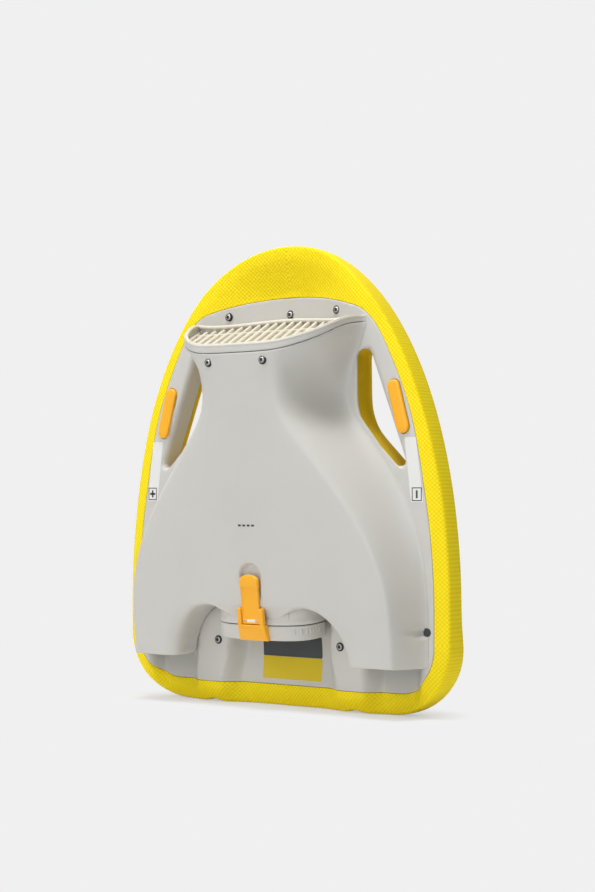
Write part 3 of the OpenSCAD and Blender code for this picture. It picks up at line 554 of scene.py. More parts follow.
def base_face(x, z):
    """The rail plane, plus a dish under the nose, a tail hollow and two jet grooves: products of steps."""
    far = np.abs(x)
    dish = np.cos(np.pi / 2 * np.clip(far / DISH_HALF, 0, 1)) ** 2 * step_up(z, *DISH_Z)
    dish = dish * (1 - DISH_EASE * step_up(z, BASE_TOP, LENGTH))
    splay = HOLLOW_SPLAY * (1 - step_up(z, *SPLAY_Z))
    hollow = (1 - step_up(far, HOLLOW_X[0], HOLLOW_X[1] + splay)) * (1 - step_up(z, *HOLLOW_TOP))
    hollow = hollow * (SHALLOW + (1 - SHALLOW) * step_up(z, *HOLLOW_FOOT))
    groove = 1 - smooth((np.abs(far - DUCT_X) - GROOVE_HALF) / GROOVE_EDGE)
    groove = groove * (1 - smooth((far - foot_half(np.maximum(z, JET)) + GROOVE_IN) / GROOVE_EDGE))
    groove = groove * (SHALLOW + (1 - SHALLOW) * step_up(z, 0, JET)) * (1 - step_up(z, *GROOVE_TOP))
    return RAIL + DISH_DEEP * dish + HOLLOW_DEEP * hollow + GROOVE_DEEP * groove


print("base face at the tail hollow", round(float(base_face(np.array(0.0), np.array(80.0))), 1), "mm")

# %% Bell of the housing
FOOT, FOOT_LAP = 15.2, 0.12
CREST_SLOPE = (RAIL - LIP - 37.7) / (CREST - JET)
PLATEAU, PLATEAU_GAIN, PLATEAU_POWER = 0.5, 0.38, 1.7
CROWN, CROWN_LOSS, SKIRT = 0.42, 0.16, 0.94
MOUTH_POWER, MOUTH_FALL, MOUTH_EDGE, MOUTH_BLEND = 5, 0.85, (0.84, 1.0), (MOUTH - 9.0, MOUTH - 69.0)


def bell(s, z):
    """Section of the housing: a full arch at the mouth; below it a crowned top that falls away to a skirt."""
    spread = flare(z)
    plateau = PLATEAU + PLATEAU_GAIN * spread ** PLATEAU_POWER
    crown = CROWN - CROWN_LOSS * (neck(z) + spread)
    waist = (1 - crown * s * s) * (1 - step_up(s, plateau, SKIRT + (1 - SKIRT) * spread))
    mouth = (1 - s ** MOUTH_POWER) * (1 - MOUTH_FALL * step_up(s, *MOUTH_EDGE))
    return mouth + (waist - mouth) * step_up(z, *MOUTH_BLEND), plateau


def bell_y(x, z):
    """The bell over the crest line, with its foot drawn down on to the base shell."""
    s = np.clip(np.abs(x) / foot_half(z), 0, 1)
    rise, plateau = bell(s, z)
    crest = LIP + CREST_SLOPE * np.maximum(0, CREST - z)
    foot = FOOT + (base_face(x, z) - FOOT_LAP - FOOT) * step_up(s, plateau, 1.0)
    return foot - (foot - crest) * rise


print("crest leans by", round(float(np.degrees(np.arctan(CREST_SLOPE))), 1), "degrees")

# %% Outer face of the housing
ARCH_X, ARCH_Z, ARCH_W = 60.0, 106.0, 47.0
TUCK, TUCK_W = 13.0, 20.0
BELL_SOFT, SOFT_SHARE, SOFT_LOSS = 14.0, 0.4, 0.8
DIP_TOP, DIP_DEEP, DIP_EDGE, DIP_FADE = 137.0, 4.5, (11.4, 13.2), (110, 124)
SIDE_SCREW = np.array([182.0, 85.0])
SCOOP_AT, SCOOP_HALF, SCOOP_FLOOR, SCOOP_DEEP = SIDE_SCREW - [2.0, 0.0], (13.0, 6.0), 0.3, 9.0


def tuck(x, z):
    """How far a jet falls back beside its arch: a quarter of an ellipse, less towards the arch's top."""
    up = np.clip((z - JET) / (ARCH_Z - JET), 0, 1)
    wall = ARCH_X + ARCH_W * np.sqrt(1 - up ** 2)
    near = 1 - np.clip((np.abs(x) - wall) / TUCK_W, 0, 1)
    return TUCK * (1 - np.sqrt(1 - near ** 2)) * (1 - up ** 2)


def cover_y(x, z):
    """The bell averaged across, less near its foot, with a finger dip and a scoop round each side screw."""
    reach = np.clip(SOFT_SHARE * (foot_half(z) - np.abs(x)), 0, BELL_SOFT) * (1 - SOFT_LOSS * flare(z))
    face = averaged(lambda offset: bell_y(x + reach * offset, z)) + tuck(x, z)
    from_dip = np.hypot(x, np.maximum(z - DIP_TOP, 0))
    face = face + DIP_DEEP * (1 - step_up(from_dip, *DIP_EDGE)) * step_up(z, *DIP_FADE)
    from_scoop = np.hypot((np.abs(x) - SCOOP_AT[0]) / SCOOP_HALF[0], (z - SCOOP_AT[1]) / SCOOP_HALF[1])
    scoop = 1 - step_up(from_scoop, SCOOP_FLOOR, 1.0)
    return face + np.clip(base_face(x, z) - FOOT_LAP - face, 0, SCOOP_DEEP) * scoop


print("housing stands", round(RAIL - float(cover_y(np.array(0.0), np.array(WAIST))), 1), "mm above the rails")

# %% Plan of the base shell
SIDE_RIM, TAIL_RIM, BASE_R = 11.0, 22.0, 48.0
BASE_HALF = HALF_W - SIDE_RIM
SHOULDER, BASE_BOW, BASE_CORNER, BASE_TURN = 350.0, 15.0, 10.0, np.radians(66)
SLIM, SLIM_Z, SLIM_X = 4.5, (215, 320), (60, 170)


def slim(x, z):
    """Draws a plan in towards its middle line below the grips."""
    return x - np.sign(x) * SLIM * (1 - step_up(z, *SLIM_Z)) * step_up(np.abs(x), *SLIM_X)


def base_half(z):
    """Half width of the shell: round tail corners, then the foam's outline less the rim."""
    low = BASE_HALF - BASE_R + np.sqrt(np.clip(BASE_R ** 2 - (BASE_R - (z - TAIL_RIM)) ** 2, 0, None))
    return np.where(z < TAIL_RIM + BASE_R, low, np.minimum(board_half(z) - SIDE_RIM, BASE_HALF))


def base_plan(cols, low, mid, top):
    """Level rows up to the shoulder, then rows that bow over towards the nose."""
    u = np.linspace(-1, 1, cols)[None]
    corner = TAIL_RIM + BASE_R * (1 - np.cos(np.linspace(0, np.pi / 2, low)))
    z = np.concatenate([corner, np.linspace(corner[-1], SHOULDER, mid)[1:]])[:, None]
    t = np.linspace(0, 1, top)[1:, None]
    narrowing = base_half(SHOULDER) - base_half(BASE_TOP - BASE_BOW)
    wide = base_half(SHOULDER) - narrowing * t - BASE_CORNER * t ** 4
    high = SHOULDER + (BASE_TOP - BASE_BOW * u ** 2 - SHOULDER) * np.sin(BASE_TURN * t) / np.sin(BASE_TURN)
    plan = np.concatenate([np.stack([u * base_half(z), z + 0 * u], -1), np.stack([u * wide, high], -1)])
    return np.stack([slim(plan[..., 0], plan[..., 1]), plan[..., 1]], -1)


def border_of(plan):
    """Border of a grid, anticlockwise from its lower left corner."""
    return np.concatenate([plan[0, :-1], plan[:-1, -1], plan[-1, :0:-1], plan[:0:-1, 0]])


PLAN = base_plan(131, 26, 96, 26)
BORDER = border_of(PLAN)
print("base shell plan", PLAN.shape, "border", len(BORDER))

# %% [markdown]
# ## Hand holes
# Two hand holes pass right through the board between the housing's waist and the grips. A hole is a
# triangle with rounded corners. A drawn curve would need many handles; the outline of three circles held
# by a tight band needs only three places and three radii.

# %% Hand holes
HOLE_CIRCLES = np.array([(106.2, 357.0, 8.5), (107.5, 298.0, 9.0), (148.6, 252.8, 5.4)])
HOLE_COUNT, HOLE_SOFT = 110, 15.0
SOFT_AT, SOFT_REACH = HOLE_CIRCLES[1, :2] - [9.0, 2.0], 24.0


def hand_hole():
    """In each direction the circle that reaches furthest gives one point; the inner corner is softened."""
    way = circle(1.0, 1440)
    far = HOLE_CIRCLES[(HOLE_CIRCLES[:, :2] @ way.T + HOLE_CIRCLES[:, 2:]).argmax(0)]
    loop = resample(far[:, :2] + far[:, 2:] * way, HOLE_COUNT)
    inner = np.exp(-((loop - SOFT_AT) ** 2).sum(1) / SOFT_REACH ** 2)[:, None]
    return loop + (soft_loop(loop, HOLE_COUNT, HOLE_SOFT) - loop) * inner


def ring(loop, grow, depth):
    """A loop pushed out by grow millimetres, at a depth."""
    x, z = (loop + loop_normals(loop) * np.broadcast_to(grow, len(loop))[:, None]).T
    return np.stack([x, np.broadcast_to(depth, len(loop)), z], 1)


def ring_on_face(loop, grow, sink):
    """The same, sunk from the face of the base shell."""
    x, _, z = ring(loop, grow, 0.0).T
    return np.stack([x, base_face(x, z) + sink, z], 1)


RIGHT_HOLE = hand_hole()
HOLES = [RIGHT_HOLE, mirrored(RIGHT_HOLE)]
print("hand hole round", round(float(np.linalg.norm(np.diff(RIGHT_HOLE, axis=0), axis=1).sum())), "mm")

# %% [markdown]
# ## The foam board
# The foam is moulded in one block: a recess for the grey shell, a rim that slopes back to a soft edge, a
# flat deck behind. Remeshing and cloth suit a cushion, but this block is stiff and keeps its edges, so its
# section is carried round the border of the shell and softened along its length.

# %% Outline of the foam
FULLNESS = 2.08


def outline_point(p):
    """Point of the outline straight out from a point of the shell's border: on a fuller ellipse round the
    nose, a straight side, a tail corner or the tail edge."""
    z = p[:, 1]
    x = 2 * p[:, 0] - slim(p[:, 0], z)
    side = np.where(x < 0, -1.0, 1.0)
    far = (np.abs(x / HALF_W) ** FULLNESS + np.abs((z - BELT) / NOSE) ** FULLNESS) ** (1 / FULLNESS)
    middle_x, middle_z = BASE_HALF - BASE_R, TAIL_RIM + BASE_R
    dx, dz = np.abs(x) - middle_x, z - middle_z
    reach = np.hypot(dx, dz)
    nose = np.stack([x / far, BELT + (z - BELT) / far], 1)
    rail = np.stack([side * HALF_W, TAIL_R + dz * (BELT - TAIL_R) / (BELT - middle_z)], 1)
    tail = np.stack([x * (HALF_W - TAIL_R) / middle_x, 0 * x], 1)
    corner = np.stack([side * (HALF_W - TAIL_R + TAIL_R * dx / reach), TAIL_R + TAIL_R * dz / reach], 1)
    low = np.where((dz >= 0)[:, None], rail, np.where((dx <= 0)[:, None], tail, corner))
    return np.where((z > BELT)[:, None], nose, low)


OUTLINE = outline_point(BORDER)
print("foam reaches", OUTLINE.max(0).round(1), "mm")

# %% Softening
BINOMIAL = np.array([1, 4, 6, 4, 1]) / 16
SOFT_ROUNDS, FIRST_SOFT, LAST_SOFT = 5, 2, -8


def soften(line):
    """Averages neighbours along each row, a few times; both ends stay, because other patches meet them."""
    for _ in range(SOFT_ROUNDS):
        wide = np.pad(line, ((0, 0), (2, 2)), mode="edge")
        mean = sum(weight * wide[:, k:k + line.shape[1]] for k, weight in enumerate(BINOMIAL))
        line[:, FIRST_SOFT:LAST_SOFT] = mean[:, FIRST_SOFT:LAST_SOFT]


step = np.repeat([[0.0, 1.0]], 10, axis=1)
soften(step)
print("a softened step", step[0, 6:12].round(2))

# %% Section of the foam's rim
RIM_W, RIM_SHARE, RIM_FALL, RIM_ROLL, ROLL_Z = 15.0, 0.9, 4.6, 2.8, (190, 330)
FOAM_STEP, EDGE_MAX, RECESS_GAP, RECESS_DEEP = 0.6, 40.0, 0.5, 2.8
DECK_IN, DECK_DROP, TAIL_SHARP, SHARP_Z = 16.0, 13.0, 0.6, (30, 110)
TAIL_SOFT, TAIL_SOFT_Z = 34.0, (60, 120)
SCALLOP, SCALLOP_X, SCALLOP_W, SCALLOP_TOP = 2.4, 90.0, 8.0, 26.0


def rim_section():
    """Rings of the foam from the deck round the side and over the rim into the recess.

    Straight runs and a quarter circle follow each other, as the way out from the shell's border and the
    depth at it. The chain is softened, and two scallops are pressed into the tail edge.
    """
    gap = np.linalg.norm(OUTLINE - BORDER, axis=1)[:, None]
    way = (OUTLINE - BORDER) / gap
    crease = gap - np.minimum(RIM_SHARE * gap, RIM_W)
    sharp = 1 - TAIL_SHARP * (1 - step_up(OUTLINE[:, 1:], *SHARP_Z))

    def plan(out):
        """Points this far out from the border."""
        return np.moveaxis(BORDER[:, None] + way[:, None] * out[..., None], -1, 0)

    def rim_y(out):
        """Depth of the rim: the shell's face carried on, softened at the tail, and falling back outwards."""
        x, z = plan(out)
        fall = (RIM_FALL - RIM_ROLL * step_up(z, *ROLL_Z)) * np.maximum(0, 1 - (gap - out) / RIM_W)
        wide = TAIL_SOFT * step_up(out / gap, 0, 1) * (1 - step_up(z, *TAIL_SOFT_Z))
        face = averaged(lambda offset: base_face(x + wide * offset, z))
        return np.minimum(face + FOAM_STEP + fall, EDGE_MAX)

    turn = np.linspace(np.pi / 2, 0, 9)[None]
    share = np.linspace(0, 1, 14)[None]
    down = np.linspace(0, 1, 5)[None]
    recess = RECESS_GAP + 0 * gap
    slope, shelf = gap + (crease - gap) * share, crease + (recess - crease) * share
    floor_y = base_face(BORDER[:, 0], BORDER[:, 1])[:, None] + RECESS_DEEP
    side_y, recess_y = DECK - DECK_DROP * sharp, rim_y(recess)
    out = [gap - DECK_IN * sharp * (1 - np.cos(turn)), gap + 0 * share, slope, shelf, recess + 0 * down]
    depth = [DECK - DECK_DROP * sharp * (1 - np.sin(turn)), side_y + (rim_y(gap) - side_y) * share,
             rim_y(slope), rim_y(shelf), recess_y + (floor_y - recess_y) * down]
    out, depth = np.concatenate(out, 1), np.concatenate(depth, 1)
    soften(out)
    soften(depth)
    x, z = plan(out)
    scallop = SCALLOP * np.exp(-((np.abs(x) - SCALLOP_X) / SCALLOP_W) ** 2) * (1 - step_up(z, 0, SCALLOP_TOP))
    return np.moveaxis(np.stack([x, depth, z + scallop], -1), 0, 1)


def closed_columns(rings):
    """Repeats the first column at the end, so that the skin runs on without a jump."""
    return np.concatenate([rings, rings[:, :1]], 1)


RIM = closed_columns(rim_section())
print("rim", RIM.shape)

# %% Skin of the foam
FRONT_EDGE = 22


def skin_of(points):
    """Texture place of a strip: length along its columns and down its rows."""
    along = np.linalg.norm(np.diff(points, axis=1), axis=2).mean(0)
    down = np.linalg.norm(np.diff(points, axis=0), axis=2)
    run = np.concatenate([[0], np.cumsum(along)])[None] + 0 * points[..., 0]
    return np.stack([run, np.concatenate([0 * run[:1], np.cumsum(down, 0)])], -1)


def knit_place(points):
    """Texture place of the rim: width and height in front; the way back from the front edge is added."""
    run = np.cumsum(np.linalg.norm(np.diff(points, axis=0), axis=2), 0)
    behind = np.maximum(0, run[FRONT_EDGE - 1] - np.concatenate([0 * run[:1], run]))
    plan = np.concatenate([0 * points[:FRONT_EDGE] + points[FRONT_EDGE], points[FRONT_EDGE:]])
    return np.stack([np.abs(plan[..., 0]) + behind, np.abs(plan[..., 2] - TAIL_R) + behind], -1)


print("skin of the rim reaches", knit_place(RIM).max((0, 1)).round(), "mm")

# %% Foam board
FOAM_HOLE, DECK_FILLET, WALL_TOP = 2.3, 10.0, 30.0
DECK_GAP, RECESS_SINK, RECESS_CLEAR = 3.0, 4.5, 5.0


def clear_plan(margin, step, gap):
    """Every few points of the shell's plan, where they are clear of the hand holes."""
    points = PLAN[margin:-margin:step, margin:-margin:step].reshape(-1, 2)
    return points[clear_of(points, HOLES[0], gap) & clear_of(points, HOLES[1], gap)]


def hole_wall(loop):
    """Rings through the foam, from the recess straight back and over a fillet on to the deck."""
    rows = [ring_on_face(loop, FOAM_HOLE, RECESS_DEEP)]
    rows += [ring(loop, FOAM_HOLE, depth) for depth in np.linspace(WALL_TOP, DECK - DECK_FILLET, 5)]
    for turn in np.linspace(0, np.pi / 2, 7)[1:]:
        grow = FOAM_HOLE + DECK_FILLET * (1 - np.cos(turn))
        rows.append(ring(loop, grow, DECK - DECK_FILLET * (1 - np.sin(turn))))
    return np.array(rows)


walls = [hole_wall(loop) for loop in HOLES]
foam_patches = [patch(RIM, skin=knit_place(RIM))]
for wall in walls:
    strip = closed_columns(wall)
    # The shift marks the walls for the foam finish's painted shade.
    foam_patches.append(patch(strip, skin=skin_of(strip) + [0, WALL_SHADE_SHIFT]))
fill = clear_plan(4, 8, FOAM_HOLE + DECK_FILLET + DECK_GAP)
deck_holes = [wall[-1] for wall in walls]
foam_patches.append(trimmed(RIM[0, :-1], deck_holes, fill, lambda x, z: DECK + 0 * x, flip=True))
fill = clear_plan(3, 2, RECESS_CLEAR)
recess_holes = [wall[0] for wall in walls]
foam_patches.append(trimmed(RIM[-1, :-1], recess_holes, fill, lambda x, z: base_face(x, z) + RECESS_SINK))
foam = make_piece("foam", foam_patches, FOAM, "main", ["foam_board"], crease=50)

# %% [markdown]
# ## The base shell
# One grey moulding lies in the foam's recess and carries everything. Its grip side is rolled over into the
# hand hole as a soft sleeve, so the hole's lip changes its radius on the way round. A boolean cut would
# leave hard edges; here each opening is a loop in the sheet, and rings of points turn down from it.

# %% Plans of the buttons
BUTTON_AT, BUTTON_LEAN = np.array([148.3, 306.5]), np.radians(15)
BUTTON_SLOT = (14.9, 55.9)


def pill(width, length, count):
    """Two half circles joined by straight sides, upright."""
    turn = np.linspace(0, np.pi, 40)
    top = np.stack([np.cos(turn), np.sin(turn)], 1) * width / 2 + [0, (length - width) / 2]
    return resample(np.concatenate([top, -top]), count)


def button_plan(loop):
    """Leans a plan over and moves it to the right button's place."""
    c, s = np.cos(BUTTON_LEAN), np.sin(BUTTON_LEAN)
    return loop @ np.array([[c, s], [-s, c]]) + BUTTON_AT


SLOT_LOOP = button_plan(pill(*BUTTON_SLOT, 80))
print("button slot from", SLOT_LOOP.min(0).round(1), "to", SLOT_LOOP.max(0).round(1), "mm")

# %% Base shell
SHELL_EDGE, SHELL_WALL = 1.2, 2.4
LIP_R, SLEEVE_R, SLEEVE_DEEP, SLOT_R = 1.0, 5.5, 21.0, 0.7
GRIP_TURN = (-0.15, 0.6)
UNDERCUT, LIP_RUN, LIP_CLEAR, NEAR = 1.6, 0.4, 1.3, 75.0


def lip(loop, radius, depth):
    """Rings that roll from the face over a radius into a hole, then run down its wall and back under it."""
    turn = np.linspace(0, np.pi / 2, 8)
    rows = [ring_on_face(loop, radius * (1 - np.sin(a)), radius * (1 - np.cos(a))) for a in turn]
    wall = np.maximum(depth, radius + LIP_RUN) - radius
    rolled = rows[-1][:, 1]
    rows += [ring(loop, 0.0, rolled + wall * share) for share in (0.5, 1.0)]
    rows.append(ring(loop, UNDERCUT, rows[-1][:, 1]))
    return np.array(rows)


lips = []
for side, hole, slot in ((1, RIGHT_HOLE, SLOT_LOOP), (-1, mirrored(RIGHT_HOLE), mirrored(SLOT_LOOP))):
    grip = step_up(loop_normals(hole)[:, 0] * side, *GRIP_TURN)
    lips.append(lip(hole, LIP_R + SLEEVE_R * grip, SHELL_WALL + SLEEVE_DEEP * grip))
    lips.append(lip(slot, np.full(len(slot), SLOT_R), np.full(len(slot), SHELL_WALL)))
fill = PLAN[2:-2, 2:-2].reshape(-1, 2)
for rows in lips:
    loop = rows[0][:, [0, 2]]
    near = np.abs(fill - rows[-2][:, [0, 2]].mean(0)).max(1) < NEAR
    near[near] = ~clear_of(fill[near], loop, LIP_CLEAR)
    fill = fill[~near]
edge = [ring_on_face(BORDER, 0.0, SHELL_WALL)]
for turn in np.linspace(0, np.pi / 2, 5):
    edge.append(ring_on_face(BORDER, -SHELL_EDGE * (1 - np.cos(turn)), SHELL_EDGE * (1 - np.sin(turn))))
shell_patches = [patch(rows, wrap=True) for rows in [*lips, np.array(edge)]]
shell_patches.append(trimmed(edge[-1], [rows[0] for rows in lips], fill, base_face))
make_piece("base_moulding", shell_patches, GREY, "main", ["base_shell"], crease=40)

# %% [markdown]
# ## The housing
# The housing is the boldest shape of the object: a bell that is narrow between the hands and spreads into
# two jets. Sculpting could find this shape, but would lose its sizes, so its face is a function of width and
# height. On the real moulding it flows into the base without a seam, so its foot is drawn on to the base.
# Its lower edge waves over the battery bay, arches beside it and ends in two jet lips. The edge is a line
# in plan; rings roll round it by a radius that is large at the arches and small at the lips.

# %% Lower edge and seam of the housing
COVER_COLS = 261
POD_EDGE, ARCH_START = 91.0, 14.0
EDGE_SOFT, EDGE_REACH = 3.2, 40
SEAM_SLOPE, SEAM_LIFT, SEAM_POWER = 0.55, 32.0, 6


def edge_line():
    """Lower edge: a wave over the bay, quarter ellipses down beside it, level lips; corners softened."""
    x = np.linspace(0, ARCH_X, 120)
    wave = np.stack([x, POD_EDGE + (ARCH_Z - POD_EDGE) * step_up(x, ARCH_START, ARCH_X)], 1)
    turn = np.linspace(0, np.pi / 2, 160)[1:]
    arch = np.stack([ARCH_X + ARCH_W * np.sin(turn), JET + (ARCH_Z - JET) * np.cos(turn)], 1)
    x = np.linspace(ARCH_X + ARCH_W, JET_W, 120)[1:]
    right = np.concatenate([wave, arch, np.stack([x, JET + 0 * x], 1)])
    line = resample(np.concatenate([right[:0:-1] * [-1, 1], right]), 1201, closed=False)
    step = np.linalg.norm(line[1] - line[0])
    weight = np.exp(-0.5 * (np.arange(-EDGE_REACH, EDGE_REACH + 1) * step / EDGE_SOFT) ** 2)
    wide = np.pad(line, ((EDGE_REACH, EDGE_REACH), (0, 0)), mode="reflect", reflect_type="odd")
    line = sum(w * wide[k:k + len(line)] for k, w in enumerate(weight / weight.sum()))
    return resample(line, COVER_COLS, closed=False)


def seam_z(u):
    """Seam under the intake: it rises as the housing falls back, then levels out; found in a few rounds."""
    z = np.full_like(u, MOUTH)
    for _ in range(8):
        lift = SEAM_SLOPE * np.maximum(0, cover_y(u * foot_half(z), z) - LIP)
        z = 0.5 * z + 0.5 * (INTAKE + lift / (1 + (lift / SEAM_LIFT) ** SEAM_POWER) ** (1 / SEAM_POWER))
    return z


def unit_run(line):
    """Direction of a line at each of its points."""
    run = np.gradient(line, axis=0)
    return run / np.linalg.norm(run, axis=1, keepdims=True)


EDGE = edge_line()
print("lower edge from", EDGE.min(0).round(1), "to", EDGE.max(0).round(1), "mm")

# %% Rolled edge of the housing
EDGE_R, ARCH_R, LIP_DEEP, LIP_SHARE, ARCH_LAP, LIP_LEAST = 1.3, 2.2, 4.0, 0.1, 0.6, 0.3
ARCH_IN, ARCH_OUT = (40.0, 56.0), (ARCH_X + ARCH_W - 2.0, ARCH_X + ARCH_W + 8.0)


def rolled_edge():
    """Rings from inside the lip up its wall and over its radius on to the face.

    Beside the arches the wall runs down to the base; along the lips it is as deep as the bell allows.
    """
    x, z = EDGE.T
    run = unit_run(EDGE)
    up = np.stack([-run[:, 1], run[:, 0]], 1)
    arch = step_up(np.abs(x), *ARCH_IN) * (1 - step_up(np.abs(x), *ARCH_OUT))
    radius = EDGE_R + ARCH_R * arch
    turn = np.linspace(np.pi / 2, 0, 9)[:, None]
    roll = EDGE + up * (radius * (1 - np.sin(turn)))[..., None]
    roll_y = cover_y(roll[..., 0], roll[..., 1]) + radius * (1 - np.cos(turn))
    s = np.clip(np.abs(x) / foot_half(z), 0, 1)
    lip_end = roll_y[0] + LIP_DEEP * np.clip(2 * bell(s, z)[0], LIP_SHARE, 1)
    wall_end = lip_end + (base_face(x, z) + ARCH_LAP - lip_end) * arch
    wall_end = np.maximum(wall_end, roll_y[0] + LIP_LEAST)
    share = np.linspace(1, 0, 6)[:-1, None]
    wall = np.stack([x + 0 * share, roll_y[0] + (wall_end - roll_y[0]) * share, z + 0 * share], -1)
    return np.concatenate([wall, np.stack([roll[..., 0], roll_y, roll[..., 1]], -1)])


LOWER = rolled_edge()
print("rolled edge", LOWER.shape)

# %% Housing cover
COVER_ROWS, COVER_WALL = 170, 1.8
SEAM_R, SEAM_DEEP = 0.9, 2.5
ROW_CROWD, ROW_START, ROW_SPAN, FAN_END = 0.055, 0.02, 0.55, 0.45


def housing_face():
    """Rows from the rolled edge up to the seam; columns fan out to equal steps across the seam."""
    low_x, _, low_z = LOWER[-1].T
    u_low = np.maximum.accumulate(np.clip(low_x / foot_half(low_z), -1, 1))
    u_top = np.linspace(-1, 1, COVER_COLS)
    v = np.linspace(0, 1, COVER_ROWS)[1:, None]
    v = v + ROW_CROWD * np.sin(2 * np.pi * np.clip((v - ROW_START) / ROW_SPAN, 0, 1))
    z = low_z + (seam_z(u_top) - SEAM_R - low_z) * v
    x = (u_low + (u_top - u_low) * step_up(v, 0.0, FAN_END)) * foot_half(z)
    return np.stack([x, cover_y(x, z), z], -1)


face = housing_face()
turn = np.linspace(0, np.pi / 2, 5)[1:, None]
seam_roll = SEAM_R * np.stack([0 * turn, 1 - np.cos(turn), np.sin(turn)], -1)
seam = face[-1] + seam_roll
cover_rows = np.concatenate([LOWER, face, seam, seam[-1:] + [0, SEAM_DEEP, 0]])
make_piece("housing", [patch(cover_rows)], GREY, "main", ["housing_cover"], crease=50,
           wall=COVER_WALL)

# %% [markdown]
# ## The intake
# A band above a dark seam carries the grille: a smooth face below, a rounded bead above. The grille lies in
# a plane that rises towards the nose, with two rows of slanting ribs either side of a bar. An Array modifier
# repeats one rib, but here every rib ends on a curve, so each gets its own length. Bars are swept sections,
# all ribs in one array.

# %% Intake band
BAND_COLS, BAND_H, BAND_LOSS = 241, 10.0, 2.0
BAND_FOOT = [(-3.0, 0.7, 0), (-0.7, 0.7, 0), (-0.25, 0.85, 0), (-0.1, 1.3, 0),
             (0.0, 2.0, 0.2), (0.05, 2.0, 0.5), (0.0, 2.0, 0.75)]
BAND_BACK = [(-3.6, -5.0, 1), (-3.6, -9.0, 1)]
BEAD_R, BEAD_IN, BEAD_TURN = 2.2, 1.8, (-0.9, 3.6)

u = np.linspace(-1, 1, BAND_COLS)
band_z = seam_z(u)
band = np.stack([u * foot_half(band_z), cover_y(u * foot_half(band_z), band_z)], 1)
band_out = unit_run(band)[:, ::-1] * [1, -1]
band_h = BAND_H - BAND_LOSS * (band_z - INTAKE) / SEAM_LIFT


def along_band(out, rise):
    """A section carried along the band: a way out from its face and a rise from its seam, one per row."""
    return np.stack([band[:, 0] + out * band_out[:, 0], band[:, 1] + out * band_out[:, 1], band_z + rise], -1)


turn = np.linspace(*BEAD_TURN, 14)
bead = np.stack([BEAD_R * np.cos(turn) - BEAD_IN, BEAD_R * np.sin(turn) - BEAD_R, 1 + 0 * turn], 1)
section = np.concatenate([BAND_FOOT, bead, BAND_BACK])
flat, faces, skin = patch(along_band(section[:, :1], section[:, 1:2] + section[:, 2:] * band_h))
left_end = [row * BAND_COLS for row in range(len(section))]
right_end = [index + BAND_COLS - 1 for index in left_end][::-1]
make_piece("intake_band", [(flat, [*faces, left_end, right_end], skin)], GREY, "main",
           ["intake_frame"], crease=40)

# %% Plane and bars of the grille
GRILLE_TILT, GRILLE_LOW, GRILLE_IN, REAR_IN = np.arctan(0.33), 369.0, 3.0, 4.5
FLANGE_Z = 407.0
BAR_TOP = np.array([(-1, -1), (-1, -0.18), (-0.72, -0.05), (0, 0), (0.72, -0.05), (1, -0.18), (1, -1)])

inner = band - GRILLE_IN * band_out
front_w = (inner[:, 1] - LIP) / np.cos(GRILLE_TILT)


def grille_place(x, w, h):
    """Point of the grille: across, back along its plane, and up from it."""
    c, s = np.cos(GRILLE_TILT), np.sin(GRILLE_TILT)
    return np.stack([x, LIP + w * c - h * s, GRILLE_LOW + w * s + h * c], -1)


def grille_front(x):
    """Way back along the plane to the inside of the band."""
    return np.interp(x, inner[:, 0], front_w)


def grille_rear(x):
    """Way back along the plane to the dish of the base shell."""
    return (base_face(x, FLANGE_Z) - LIP - REAR_IN) / np.cos(GRILLE_TILT)


def bars(start, end, half, deep):
    """Bars from start to end in the plane of the grille: one section with a rounded top at both ends."""
    count = len(BAR_TOP)
    way = (end - start) / np.linalg.norm(end - start, axis=1, keepdims=True)
    side = np.stack([way[:, 1], -way[:, 0]], 1)
    plan = np.stack([start, end], 1)[:, :, None] + side[:, None, None] * BAR_TOP[:, :1] * half
    points = grille_place(plan[..., 0], plan[..., 1], np.broadcast_to(BAR_TOP[:, 1] * deep, plan.shape[:3]))
    faces = grid_faces(2, count, True)[None] + np.arange(len(start))[:, None, None] * 2 * count
    flat = points.reshape(-1, 3)
    return flat, faces.reshape(-1, 4).tolist(), flat[:, [0, 2]]


print("grille is", round(float(grille_rear(0.0) - grille_front(0.0)), 1), "mm deep in the middle")

# %% Ribs of the grille
RIB_PITCH, RIB_LEAN, RIB_DEEP, RIB_SIDE = 10.6, np.tan(np.radians(20)), 6.0, 11
FRONT_HALF, REAR_HALF, BAR_HALF, BAR_AT = 2.5, 1.875, 1.5, 0.58
FRONT_GAP, REAR_LAP, FRONT_LEAST, REAR_LEAST = 0.6, 3.0, 3.0, 5.0
RIB_REACH, OUTSIDE = 110.0, 999.0

rib_x = np.arange(-RIB_SIDE, RIB_SIDE + 1) * RIB_PITCH
bar_w = grille_front(0.0) + BAR_AT * (grille_rear(0.0) - grille_front(0.0))


def rib_points(w):
    """Points of the slanting ribs at a way back from the lip."""
    return np.stack([rib_x - RIB_LEAN * (w - bar_w), w + 0 * rib_x], 1)


